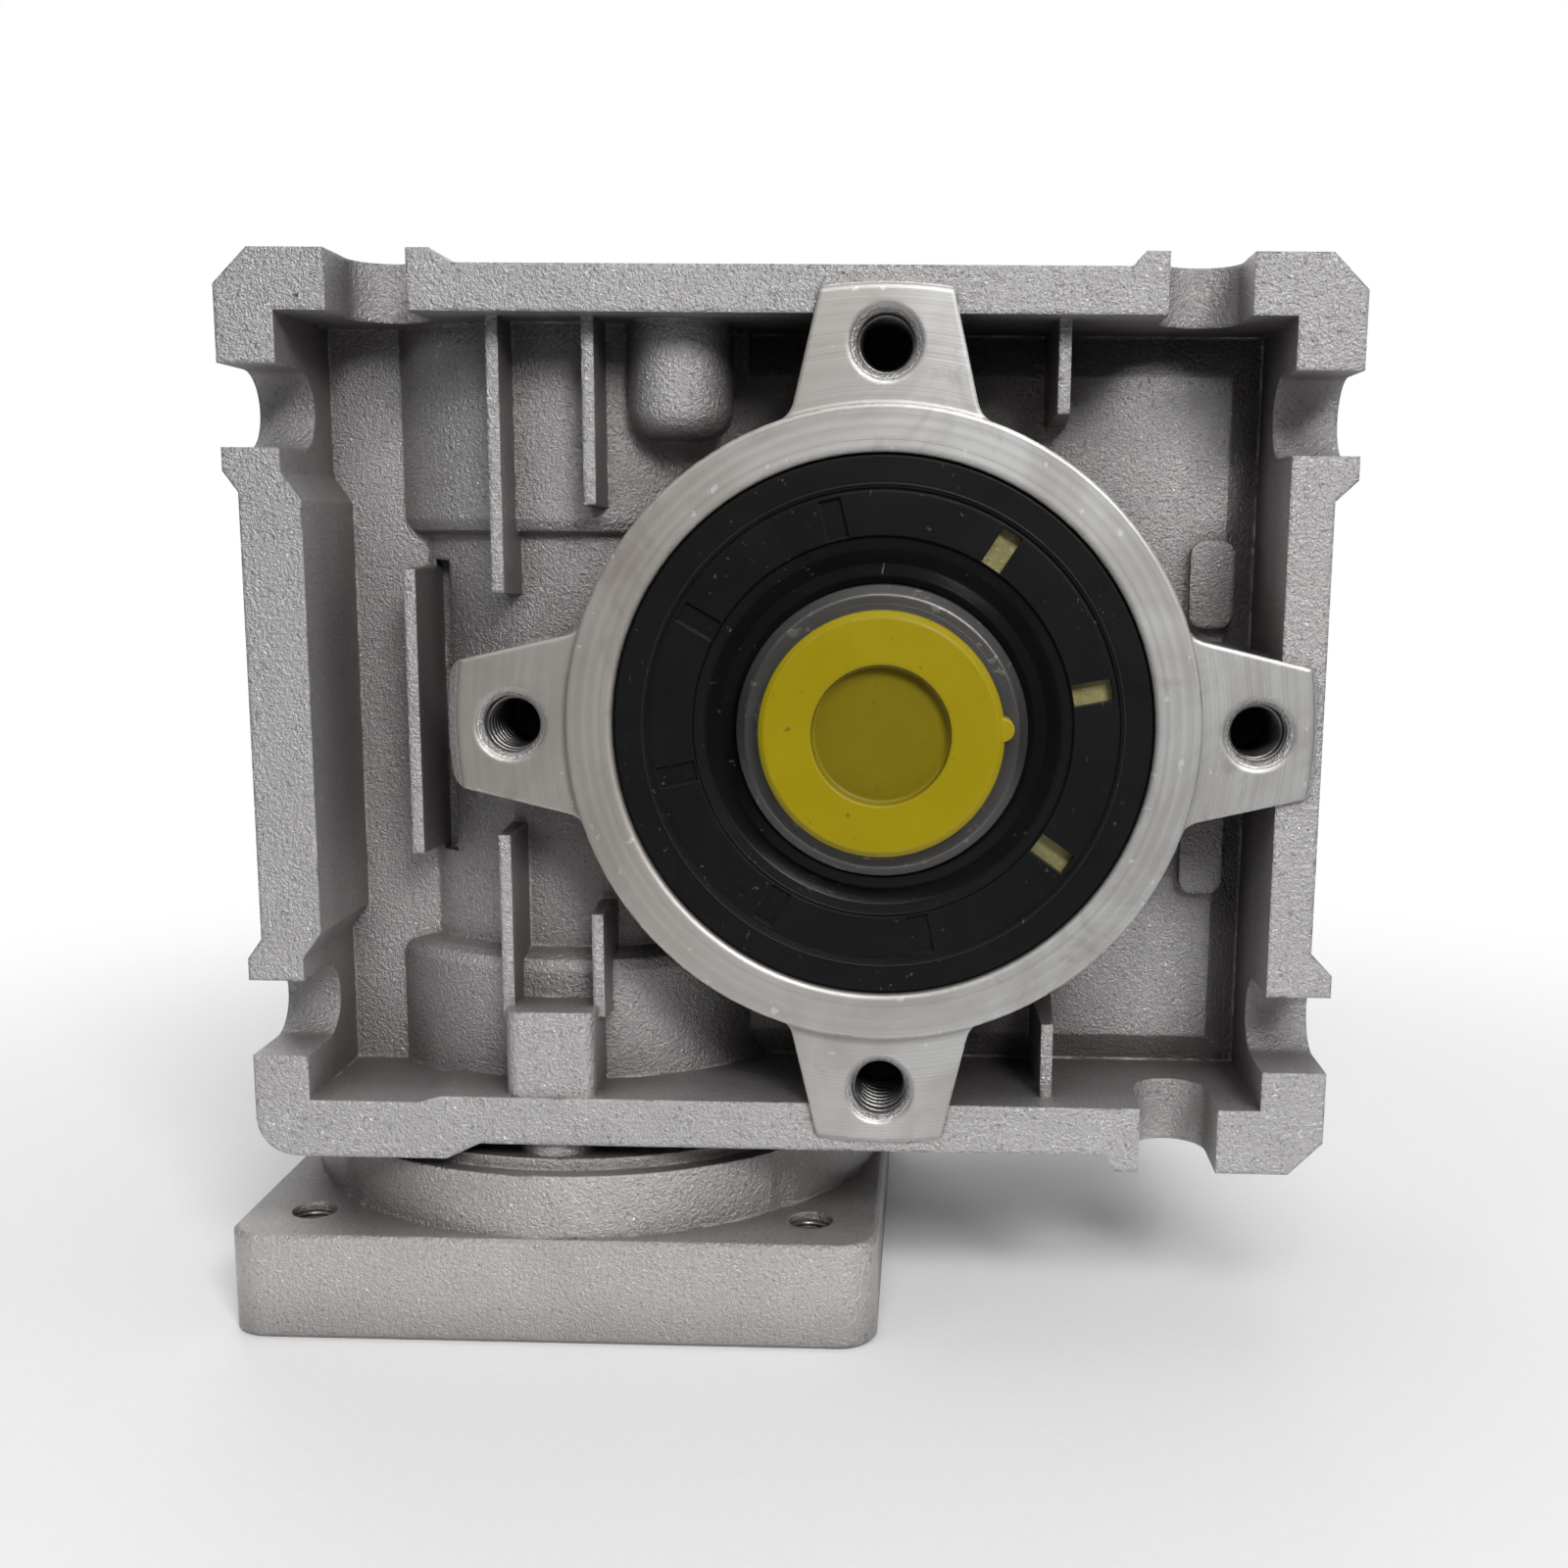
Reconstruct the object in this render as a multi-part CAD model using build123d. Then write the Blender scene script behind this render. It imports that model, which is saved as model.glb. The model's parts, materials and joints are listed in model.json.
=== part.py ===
from build123d import *
import math
import os

# Right angle worm gearbox, centre distance 30 mm, with a square motor flange below.
# Millimetres. +Z up, output shaft along Y, front (-Y) is the side with the shaft plug.
# The origin is on the output axis, halfway through the case.
# The worm axis is vertical at x = -CENTRE_DISTANCE, y = 0.

# ---------------------------------------------------------------- case frame
CENTRE_DISTANCE = 30.0          # output axis to worm axis
CASE_LEFT = -57.0               # outer faces of the feet
CASE_RIGHT = 40.0
CASE_TOP = 40.0
CASE_BOTTOM = -40.0
CASE_HALF_DEPTH = 28.0          # frame faces at y = +-28
WALL_TOP_OUT = 38.8             # outer wall faces between the feet
WALL_BOTTOM_OUT = -38.5
WALL_LEFT_OUT = -55.7
WALL_RIGHT_OUT = 38.1
WALL_TOP_IN = 34.9              # inner wall faces
WALL_BOTTOM_IN = -34.1
WALL_LEFT_IN = -50.3
WALL_RIGHT_IN = 34.3
FOOT_LEFT_IN = -52.0            # the left feet are set further out than the wall
CORNER_CHAMFER = 3.0
CORNER_ROUND = 3.6              # lower left corner
TAB_WIDTH = 2.0                 # full-height strip beside each foot slot
TAPER_WIDTH = 1.8               # slope from that strip down to the wall

SLOT_WIDTH = 7.0                # open foot slots
SLOT_CENTRE_X = 27.0
SLOT_LEFT_X = -44.0
SLOT_CENTRE_Z = 27.0
SLOT_CENTRE_Y = 22.0

# ---------------------------------------------------------------- case middle
FLOOR_Y = 14.0                  # depth of the pocket floor from the mid plane
FLOOR_EDGE_Y = 12.0             # where the sloped edge of the floor meets the walls
FLOOR_RIGHT = 31.3
FLOOR_HALF_HEIGHT = 31.1
FLOOR_STEP_X = -13.0            # the floor has sloped edges only right of this
CHAMBER_HALF = 25.2             # rounded square room around the worm wheel
CHAMBER_ROUND = 10.0
CHAMBER_HALF_DEPTH = 10.0
TUNNEL_BORE_R = 10.5            # bore around the worm
TUNNEL_RELIEF_R = 14.0
UPPER_BOSS_R = 20.8             # round outsides of the worm bearing seats
TUNNEL_BOSS_R = 19.3
LOWER_BOSS_R = 22.0
UPPER_BOSS_Z = 16.3
LOWER_BOSS_Z = -22.3
BOSS_EDGE_ROUND = 1.4

RIB_TOP_Y = 25.0
RIB_TOP_W = 1.05
RIB_BASE_W = 2.1
RIB_SPACING = 4.15              # ribs stand this far either side of the worm axis
SLIM_RIB_X = -42.9
SLIM_RIB_Y = 22.0
OUTER_RIB_X = 15.2

BLIND_BOSS_R = 4.7
BLIND_BOSS_X = -18.6
BLIND_BOSS_Y = 19.3
BLIND_BOSS_Z = 24.8
PILLAR_W = 8.2
PILLAR_FACE_Y = 27.6
PILLAR_BACK_Y = 19.5
PILLAR_TOP_Z = -26.2
PAD_R = 3.6                     # screw pads under the case
SEAT_R = 22.0                   # round flange seat under the case

# ---------------------------------------------------------------- output side
RING_R = 27.5                   # pilot ring around the output, both sides
RING_Y = 29.6
LUG_FACE_Y = 28.6
LUG_TIP_R = 38.2
LUG_TIP_W = 10.6
LUG_ROOT_W = 15.6
LUG_CORNER_R = 1.8
LUG_FILLET_R = 2.4
LUG_TIP_CHAMFER = 1.1
LUG_HOLE_CIRCLE = 65.0
LUG_HOLE_R = 2.5
LUG_HOLE_DEPTH = 11.0
COVER_HOLE_DEPTH = 8.6
LUG_HOLE_SINK = 0.7
COVER_IN_Y = 11.0               # inner end of the side cover
COVER_LEDGE_R = 26.0            # opening left inside it for the wheel
COVER_EAR_ANGLES = (68.0, 112.0, 248.0, 292.0)
COVER_EAR_CIRCLE = 62.0
COVER_EAR_R = 3.9
COVER_EAR_Y = 17.0
COVER_SCREW_R = 2.0
COVER_SCREW_HEAD_R = 3.5
COVER_SCREW_HEAD_H = 4.0
COVER_SCREW_END_Y = 10.0
NOTCH_GAP = 0.3
NOTCH_Y = 20.0

SHAFT_R = 12.5                  # hollow output shaft
SHAFT_BORE_R = 7.0
SHAFT_HALF = 31.5
SHAFT_CHAMFER = 0.8
SHAFT_KEY_W = 5.0
SHAFT_KEY_TOP = 9.3             # keyway roof above the axis
BORE_GROOVE_Y = (23.3, 23.9)    # relief between the plug's seat and the working bore
BORE_GROOVE_R = 7.3
HUB_R = 15.2
HUB_HALF = 10.2
RIM_SEAT_R = 17.0

SEAL_FACE_Y = 29.2
SEAL_W = 7.0
SEAL_WINDOWS = (10.7, 57.0, 324.4)
SEAL_BLIND_WINDOWS = (103.6, 150.0, 193.0, 238.5, 281.0)
SEAL_BLIND_DEPTH = 0.62
OUT_BEARING_IN_Y = 10.2

# ---------------------------------------------------------------- gears
MODULE = 1.5
WHEEL_TEETH = 30
WORM_PITCH_R = 7.5
PRESSURE_ANGLE = 20.0
WHEEL_HALF_W = 7.0
WORM_HALF_L = 14.0
TOOTH_THIN = 0.14               # taken from each flank of the wheel teeth
THREAD_THIN = 0.06              # taken from each flank of the worm thread

# ---------------------------------------------------------------- worm line
WORM_END_Z = -50.0              # open end of the hollow worm shaft
WORM_TOP_Z = 32.0
WORM_SHAFT_R = 10.0
WORM_NECK_R = 5.0
WORM_COLLAR_R = 11.4
WORM_BORE_R = 4.0
WORM_BORE_DEPTH = 28.0
WORM_KEY_W = 3.0
WORM_KEY_TOP = 5.2
LOWER_BEARING_Z = (-33.0, -24.0)
UPPER_BEARING_Z = (22.0, 31.0)
CIRCLIP_T = 1.2
CIRCLIP_GROOVE = 1.0
END_CAP_Z = (33.2, 38.4)

# ---------------------------------------------------------------- bearings
# bore radius, outer radius, ball radius, number of balls
OUT_BEARING = (SHAFT_R, 23.5, 3.175, 10)
UPPER_BEARING = (WORM_NECK_R, 15.0, 2.38, 8)
LOWER_BEARING = (WORM_SHAFT_R, 18.5, 2.38, 11)
BALL_PLAY = 0.03

# ---------------------------------------------------------------- motor flange
FLANGE_HALF = 30.0
FLANGE_CORNER_R = 3.5
FLANGE_BOTTOM_Z = -57.0
FLANGE_TOP_Z = -47.0
FLANGE_NECK_R = 29.3
FLANGE_NECK_Z = -41.1
FLANGE_SEAT_R = 27.6
FLANGE_BORE_R = 12.6
MOTOR_PILOT_R = 19.05
MOTOR_PILOT_DEPTH = 3.0
MOTOR_HOLE_OFFSET = 23.57
MOTOR_HOLE_R = 2.1
FLANGE_SCREW_CIRCLE_R = 23.8
FLANGE_SCREW_R = 2.0
FLANGE_SCREW_HEAD_R = 3.5
FLANGE_SCREW_HEAD_H = 4.0
FLANGE_SCREW_SEAT_Z = -49.0
FLANGE_SCREW_END_Z = -30.0

RING_CORD_R = 0.8               # O-ring cord
FLANGE_RING_R = 20.3
COVER_RING_Y = 12.0

# ---------------------------------------------------------------- shaft plug
PLUG_DISC_R = 10.4
PLUG_FACE_Y = 34.0
PLUG_RECESS_R = 5.8
PLUG_RECESS_DEPTH = 1.3
PLUG_STEM_PLAY = 0.07           # between the stem and the output bore
PLUG_STEM_R = SHAFT_BORE_R - PLUG_STEM_PLAY
PLUG_STEM_END_Y = 24.0
PLUG_STEM_WALL = 1.53
PLUG_STEM_BORE_R = PLUG_STEM_R - PLUG_STEM_WALL
PLUG_SEAT_GAP = 0.02

WORM_X = -CENTRE_DISTANCE


# ================================================================ helpers
def box(x0, x1, y0, y1, z0, z1):
    """Box from its six faces."""
    centre = ((x0 + x1) / 2, (y0 + y1) / 2, (z0 + z1) / 2)
    return Pos(*centre) * Box(abs(x1 - x0), abs(y1 - y0), abs(z1 - z0))


def disc_y(r, y0, y1, x=0.0, z=0.0):
    """Cylinder along Y between two y values."""
    return Pos(x, (y0 + y1) / 2, z) * Rot(90, 0, 0) * Cylinder(r, abs(y1 - y0))


def disc_z(r, z0, z1, x=WORM_X, y=0.0):
    """Cylinder along Z between two z values."""
    return Pos(x, y, (z0 + z1) / 2) * Cylinder(r, abs(z1 - z0))


def turn_y(points):
    """Solid of revolution about the output axis from (radius, y) points."""
    wire = Polyline(*[(r, y, 0) for r, y in points], close=True)
    return revolve(make_face(wire), Axis.Y)


def turn_z(points, x=WORM_X):
    """Solid of revolution about the worm axis from (radius, z) points."""
    wire = Polyline(*[(r, 0, z) for r, z in points], close=True)
    return Pos(x, 0, 0) * revolve(make_face(wire), Axis.Z)


def prism_y(points, y0, y1):
    """Prism along Y from (x, z) points."""
    wire = Polyline(*[(x, y0, z) for x, z in points], close=True)
    return extrude(make_face(wire), amount=abs(y1 - y0), dir=(0, 1 if y1 > y0 else -1, 0))


def sketch_y(sketch, y0, y1):
    """Extrude a sketch drawn in (x, z) from y0 to y1."""
    low = min(y0, y1)
    plane = Plane(origin=(0, low, 0), x_dir=(1, 0, 0), z_dir=(0, -1, 0))
    return extrude(plane * sketch, amount=-abs(y1 - y0))


def ring_torus_y(r, cord, y):
    """O-ring around the output axis."""
    return Pos(0, y, 0) * Rot(90, 0, 0) * Torus(r, cord)


def ring_torus_z(r, cord, z):
    """O-ring around the worm axis."""
    return Pos(WORM_X, 0, z) * Torus(r, cord)


def save(name, *solids):
    """Write one node as one STEP file."""
    found = []
    for piece in solids:
        found.extend(piece.solids())
    whole = found[0] if len(found) == 1 else Compound(children=found)
    whole.label = name
    export_step(whole, f"parts/{name}.step")
    print(name, len(found), round(sum(s.volume for s in found), 1))


# ================================================================ case
def frame_outline():
    """Outer outline of the frame in (x, z), with feet, slot strips and tapers."""
    half = SLOT_WIDTH / 2
    tab = half + TAB_WIDTH
    end = tab + TAPER_WIDTH
    c = CORNER_CHAMFER
    left_x = SLOT_LEFT_X
    right_x = SLOT_CENTRE_X
    z = SLOT_CENTRE_Z
    points = [
        (CASE_LEFT, CASE_TOP - c),
        (CASE_LEFT + c, CASE_TOP),
        (left_x + tab, CASE_TOP),
        (left_x + end, WALL_TOP_OUT),
        (right_x - end + 0.7, WALL_TOP_OUT),
        (right_x - tab, CASE_TOP),
        (CASE_RIGHT - c, CASE_TOP),
        (CASE_RIGHT, CASE_TOP - c),
        (CASE_RIGHT, z - tab),
        (WALL_RIGHT_OUT, z - end),
        (WALL_RIGHT_OUT, -z + end),
        (CASE_RIGHT, -z + tab),
        (CASE_RIGHT, CASE_BOTTOM + c),
        (CASE_RIGHT - c, CASE_BOTTOM),
        (right_x - tab, CASE_BOTTOM),
        (right_x - end + 0.7, WALL_BOTTOM_OUT),
        (left_x + end + 0.2, WALL_BOTTOM_OUT),
        (left_x + tab - 1.1, CASE_BOTTOM),
        (CASE_LEFT + CORNER_ROUND, CASE_BOTTOM),
    ]
    for step in range(1, 6):
        a = math.radians(90 * step / 6)
        points.append((
            CASE_LEFT + CORNER_ROUND - CORNER_ROUND * math.sin(a),
            CASE_BOTTOM + CORNER_ROUND - CORNER_ROUND * math.cos(a),
        ))
    points += [
        (CASE_LEFT, CASE_BOTTOM + CORNER_ROUND),
        (CASE_LEFT, -z + tab),
        (WALL_LEFT_OUT, -z + end),
        (WALL_LEFT_OUT, z - end),
        (CASE_LEFT, z - tab),
    ]
    return points


def frame_opening():
    """Inner outline of the frame in (x, z)."""
    half = SLOT_WIDTH / 2
    tab = half + TAB_WIDTH
    end = tab + TAPER_WIDTH + 0.6
    z = SLOT_CENTRE_Z
    return [
        (FOOT_LEFT_IN, WALL_TOP_IN),
        (WALL_RIGHT_IN, WALL_TOP_IN),
        (WALL_RIGHT_IN, WALL_BOTTOM_IN),
        (SLOT_LEFT_X + 4, WALL_BOTTOM_IN),
        (SLOT_LEFT_X + 2, WALL_BOTTOM_IN - 0.6),
        (FOOT_LEFT_IN, WALL_BOTTOM_IN - 0.6),
        (FOOT_LEFT_IN, -z + tab),
        (WALL_LEFT_IN, -z + end),
        (WALL_LEFT_IN, z - end),
        (FOOT_LEFT_IN, z - tab),
    ]


def foot_slots():
    """All open foot slots, from both faces."""
    reach = 12.0
    cuts = []
    for side in (-1, 1):
        y_in = side * SLOT_CENTRE_Y
        y_out = side * (CASE_HALF_DEPTH + 2)
        half = SLOT_WIDTH / 2
        for x, z_mid in ((SLOT_LEFT_X, CASE_TOP), (SLOT_CENTRE_X, CASE_TOP), (SLOT_CENTRE_X, CASE_BOTTOM)):
            z0 = z_mid - reach / 2
            z1 = z_mid + reach / 2
            cuts.append(box(x - half, x + half, y_in, y_out, z0, z1))
            cuts.append(disc_z(half, z0, z1, x=x, y=y_in))
        for x_mid in (CASE_LEFT, CASE_RIGHT):
            for z in (SLOT_CENTRE_Z, -SLOT_CENTRE_Z):
                x0 = x_mid - reach / 2
                x1 = x_mid + reach / 2
                cuts.append(box(x0, x1, y_in, y_out, z - half, z + half))
                barrel = Rot(0, 90, 0) * Cylinder(half, reach)
                cuts.append(Pos(x_mid, y_in, z) * barrel)
    return cuts


def rib(x, z0, z1, top_y, base_y=13.0, top_w=RIB_TOP_W, base_w=RIB_BASE_W, side=-1):
    """Thin cast rib, wider at its root; end faces slope the same way."""
    grow = (base_w - top_w) / 2
    top = Pos(0, side * top_y, 0) * Rot(90, 0, 0) * Pos(x, (z0 + z1) / 2) * Rectangle(top_w, z1 - z0)
    base = Pos(0, side * base_y, 0) * Rot(90, 0, 0) * Pos(x, (z0 + z1) / 2)
    base = base * Rectangle(base_w, z1 - z0 + 2 * grow)
    return loft([top, base])


def lug_sketch(grow=0.0, tip_r=LUG_TIP_R):
    """The four screw lugs joined to the ring, in (x, z)."""
    shape = Circle(RING_R)
    root = RING_R - 6
    slope = (LUG_ROOT_W - LUG_TIP_W) / 2 / (LUG_TIP_R - RING_R)
    for k in range(4):
        half_tip = LUG_TIP_W / 2 + grow
        half_root = half_tip + slope * (LUG_TIP_R - root)
        far = tip_r + 3
        half_far = half_tip - slope * (far - LUG_TIP_R)
        blade = make_face(Polyline(
            (root, -half_root), (far, -half_far), (far, half_far), (root, half_root), close=True))
        shape += Rot(0, 0, 90 * k) * blade
    shape = shape & Circle(tip_r)
    corners = [v for v in shape.vertices() if math.hypot(v.X, v.Y) > RING_R + 3]
    shape = fillet(corners, LUG_CORNER_R)
    roots = [v for v in shape.vertices() if abs(math.hypot(v.X, v.Y) - RING_R) < 0.2]
    return fillet(roots, LUG_FILLET_R)


def lug_block(y_far, side):
    """Ring and lugs as a solid from the lug face to y_far, tips chamfered."""
    face = side * LUG_FACE_Y
    block = sketch_y(lug_sketch(), face, side * y_far)
    r = LUG_TIP_R
    c = LUG_TIP_CHAMFER
    tool = turn_y([
        (0, face), (r - c, face), (r + 0.05, face - side * c),
        (r + 0.05, side * y_far), (0, side * y_far)])
    return block & tool


def lug_holes(r, depth, side):
    """Threaded lug holes with a small countersink."""
    s = LUG_HOLE_SINK
    face = side * LUG_FACE_Y
    holes = []
    for k in range(4):
        a = math.radians(90 * k)
        x = LUG_HOLE_CIRCLE / 2 * math.cos(a)
        z = LUG_HOLE_CIRCLE / 2 * math.sin(a)
        hole = turn_y([
            (0, face + side), (r + s + 0.3, face + side), (r + s, face), (r, face - side * s),
            (r, face - side * depth), (0, face - side * (depth + r * 0.6))])
        holes.append(Pos(x, 0, z) * hole)
    return holes


def worm_boss():
    """Round outside of the worm bearing seats and tunnel."""
    e = BOSS_EDGE_ROUND
    k = e * (1 - math.sqrt(0.5))
    up = UPPER_BOSS_Z
    low = LOWER_BOSS_Z
    return turn_z([
        (0, WALL_BOTTOM_OUT + 1), (LOWER_BOSS_R, WALL_BOTTOM_OUT + 1),
        (LOWER_BOSS_R, low - e), (LOWER_BOSS_R - k, low - k), (LOWER_BOSS_R - e, low),
        (TUNNEL_BOSS_R, low + 0.4), (TUNNEL_BOSS_R, up - 0.3),
        (UPPER_BOSS_R - e, up), (UPPER_BOSS_R - k, up + k), (UPPER_BOSS_R, up + e),
        (UPPER_BOSS_R, WALL_TOP_OUT - 1), (0, WALL_TOP_OUT - 1)])


def case_floor(side):
    """Raised pocket floor with sloped edges on the right."""
    lower = Pos(0, side * FLOOR_EDGE_Y, 0) * Rot(90, 0, 0)
    upper = Pos(0, side * FLOOR_Y, 0) * Rot(90, 0, 0)
    x0 = FLOOR_STEP_X
    edge_r = WALL_RIGHT_IN + 0.2
    edge_h = WALL_TOP_IN - 0.2
    wide = lower * Pos((x0 + edge_r) / 2, 0.2) * Rectangle(edge_r - x0, 2 * edge_h)
    slim = upper * Pos((x0 + FLOOR_RIGHT) / 2, 0) * Rectangle(FLOOR_RIGHT - x0, 2 * FLOOR_HALF_HEIGHT)
    return loft([wide, slim])


def side_features(side):
    """Ribs, boss and pads on one face of the case."""
    parts = []
    top_in = WALL_TOP_IN + 0.5
    low_in = WALL_BOTTOM_IN - 0.5
    left_x = WORM_X - RIB_SPACING
    right_x = WORM_X + RIB_SPACING
    parts.append(rib(left_x, 11.3, top_in, RIB_TOP_Y, side=side))
    parts.append(rib(right_x, 19.0, top_in, RIB_TOP_Y, side=side))
    parts.append(rib(left_x, PILLAR_TOP_Z - 1, -10.4, RIB_TOP_Y, side=side))
    parts.append(rib(right_x, PILLAR_TOP_Z - 1, -17.6, RIB_TOP_Y, side=side))
    parts.append(rib(SLIM_RIB_X, -12.7, 13.2, SLIM_RIB_Y, base_w=1.6, side=side))
    if side < 0:
        parts.append(rib(OUTER_RIB_X, 27.0, top_in, RIB_TOP_Y))
        parts.append(rib(OUTER_RIB_X, low_in, -27.2, RIB_TOP_Y))
    for z in (12.4, -12.7):
        pad = extrude(Plane.XZ * Pos(30.0, z) * RectangleRounded(4.0, 8.0, 1.3), amount=FLOOR_Y + 1.2)
        parts.append(pad if side < 0 else mirror(pad, Plane.XZ))
    pillar = box(WORM_X - PILLAR_W / 2, WORM_X + PILLAR_W / 2,
                 side * PILLAR_BACK_Y, side * PILLAR_FACE_Y, WALL_BOTTOM_OUT + 1, PILLAR_TOP_Z)
    long_edges = pillar.edges().filter_by(Axis.Z).group_by(Axis.Y)[0 if side < 0 else -1]
    parts.append(fillet(long_edges, 1.2))
    return parts


def blind_boss():
    """Cast boss hanging from the top wall, front face only."""
    body = disc_z(BLIND_BOSS_R, BLIND_BOSS_Z, WALL_TOP_IN + 1, x=BLIND_BOSS_X, y=-BLIND_BOSS_Y)
    return fillet(body.faces().sort_by(Axis.Z)[0].edges(), 2.6)


def screw_pads():
    """Pads and seat under the case for the motor flange."""
    parts = [disc_z(SEAT_R, CASE_BOTTOM, WALL_BOTTOM_OUT + 1)]
    for x, y in flange_screw_spots():
        if x - PAD_R > CASE_LEFT:
            parts.append(disc_z(PAD_R, CASE_BOTTOM, WALL_BOTTOM_OUT + 1, x=x, y=y))
    return parts


def flange_screw_spots():
    """Centres of the four flange screws."""
    spots = []
    for k in range(4):
        a = math.radians(90 * k)
        spots.append((
            WORM_X + FLANGE_SCREW_CIRCLE_R * math.cos(a),
            FLANGE_SCREW_CIRCLE_R * math.sin(a)))
    return spots


def cover_screw_spots():
    """Centres of the four side cover screws, (x, z)."""
    spots = []
    for angle in COVER_EAR_ANGLES:
        a = math.radians(angle)
        spots.append((COVER_EAR_CIRCLE / 2 * math.cos(a), COVER_EAR_CIRCLE / 2 * math.sin(a)))
    return spots


def make_housing():
    frame = prism_y(frame_outline(), -CASE_HALF_DEPTH, CASE_HALF_DEPTH)
    frame -= prism_y(frame_opening(), -CASE_HALF_DEPTH - 1, CASE_HALF_DEPTH + 1)
    body = frame
    body += box(WALL_LEFT_OUT + 1, FLOOR_STEP_X, -FLOOR_Y, FLOOR_Y, WALL_BOTTOM_OUT + 1, WALL_TOP_OUT - 1)
    body += box(FLOOR_STEP_X - 1, WALL_RIGHT_OUT - 1, -FLOOR_EDGE_Y, FLOOR_EDGE_Y,
                WALL_BOTTOM_OUT + 1, WALL_TOP_OUT - 1)
    body += [case_floor(-1), case_floor(1)]
    body += worm_boss()
    slot_gap = [
        box(-42.4, -40.8, side * 13.5, side * 22.0, -13.5, 14.0)
        for side in (-1, 1)]
    body -= slot_gap
    body += side_features(-1) + side_features(1)
    body += blind_boss()
    body += screw_pads()
    # front ring and lugs are cast with the case
    body += lug_block(FLOOR_Y - 3, -1)
    body += disc_y(RING_R, -FLOOR_Y + 3, -RING_Y)
    # round seat for the side cover, open to the back
    body -= disc_y(RING_R, COVER_IN_Y, 40)
    body -= disc_y(COVER_LEDGE_R, 0, 40)
    for k in (0, 1, 3):
        notch = sketch_y(lug_sketch(grow=NOTCH_GAP, tip_r=46), NOTCH_Y - NOTCH_GAP, 40)
        body -= notch & (Rot(0, -90 * k, 0) * box(0, 50, 0, 50, -12, 12))
    body -= foot_slots()
    # room for the wheel and the worm line
    room = sketch_y(RectangleRounded(2 * CHAMBER_HALF, 2 * CHAMBER_HALF, CHAMBER_ROUND),
                    -CHAMBER_HALF_DEPTH, CHAMBER_HALF_DEPTH)
    body -= room
    body -= disc_y(OUT_BEARING[1], 0, -40)
    body -= turn_y([(OUT_BEARING[1] - 1, -RING_Y - 0.1), (OUT_BEARING[1] + 0.35, -RING_Y - 0.1),
                    (OUT_BEARING[1] - 0.1, -RING_Y + 0.35), (OUT_BEARING[1] - 1, -RING_Y + 0.35)])
    low = LOWER_BEARING_Z[1]
    high = UPPER_BEARING_Z[0]
    groove = UPPER_BEARING_Z[1]
    r_low = LOWER_BEARING[1]
    r_high = UPPER_BEARING[1]
    body -= turn_z([
        (0, CASE_BOTTOM - 1), (r_low, CASE_BOTTOM - 1), (r_low, low),
        (TUNNEL_RELIEF_R, low), (TUNNEL_RELIEF_R, low + 3), (TUNNEL_BORE_R, low + 5),
        (TUNNEL_BORE_R, high), (r_high, high), (r_high, groove),
        (r_high + CIRCLIP_GROOVE, groove), (r_high + CIRCLIP_GROOVE, groove + CIRCLIP_T),
        (r_high, groove + CIRCLIP_T), (r_high, CASE_TOP + 1), (0, CASE_TOP + 1)])
    body -= lug_holes(LUG_HOLE_R, LUG_HOLE_DEPTH, -1)
    for x, y in flange_screw_spots():
        body -= disc_z(FLANGE_SCREW_R, CASE_BOTTOM - 1, FLANGE_SCREW_END_Z, x=x, y=y)
    for x, z in cover_screw_spots():
        body -= disc_y(COVER_SCREW_R, COVER_SCREW_END_Y, FLOOR_Y + 5, x=x, z=z)
        body -= disc_y(COVER_EAR_R + 0.4, FLOOR_Y, FLOOR_Y + 12, x=x, z=z)
    return body


def make_side_cover():
    body = lug_block(FLOOR_Y, 1)
    # the tips of the lugs reach over the case walls, so they are thinner there
    over_right = (WALL_RIGHT_IN - 0.4, NOTCH_Y)
    over_top = (WALL_TOP_IN - 0.4, NOTCH_Y)
    over_worm = (RING_R - 3, TUNNEL_BOSS_R + 0.1)
    over_bottom = (-WALL_BOTTOM_IN - 0.4, NOTCH_Y)
    for k, (start, stop) in enumerate((over_right, over_top, over_worm, over_bottom)):
        body -= Rot(0, -90 * k, 0) * box(start, 50, 0, stop, -12, 12)
    body += disc_y(RING_R, COVER_IN_Y, RING_Y)
    for x, z in cover_screw_spots():
        body += disc_y(COVER_EAR_R, FLOOR_Y, COVER_EAR_Y, x=x, z=z)
    body -= disc_y(OUT_BEARING[1], 0, 40)
    body -= turn_y([(OUT_BEARING[1] - 1, RING_Y + 0.1), (OUT_BEARING[1] + 0.35, RING_Y + 0.1),
                    (OUT_BEARING[1] - 0.1, RING_Y - 0.35), (OUT_BEARING[1] - 1, RING_Y - 0.35)])
    groove = turn_y([
        (RING_R - 2 * RING_CORD_R, COVER_RING_Y - 1.0), (RING_R + 1, COVER_RING_Y - 1.0),
        (RING_R + 1, COVER_RING_Y + 1.0), (RING_R - 2 * RING_CORD_R, COVER_RING_Y + 1.0)])
    body -= groove
    body -= lug_holes(LUG_HOLE_R, COVER_HOLE_DEPTH, 1)
    for x, z in cover_screw_spots():
        body -= disc_y(COVER_SCREW_R, 0, 30, x=x, z=z)
        body -= disc_y(COVER_SCREW_HEAD_R + 0.25, COVER_EAR_Y, 40, x=x, z=z)
    return body


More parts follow.
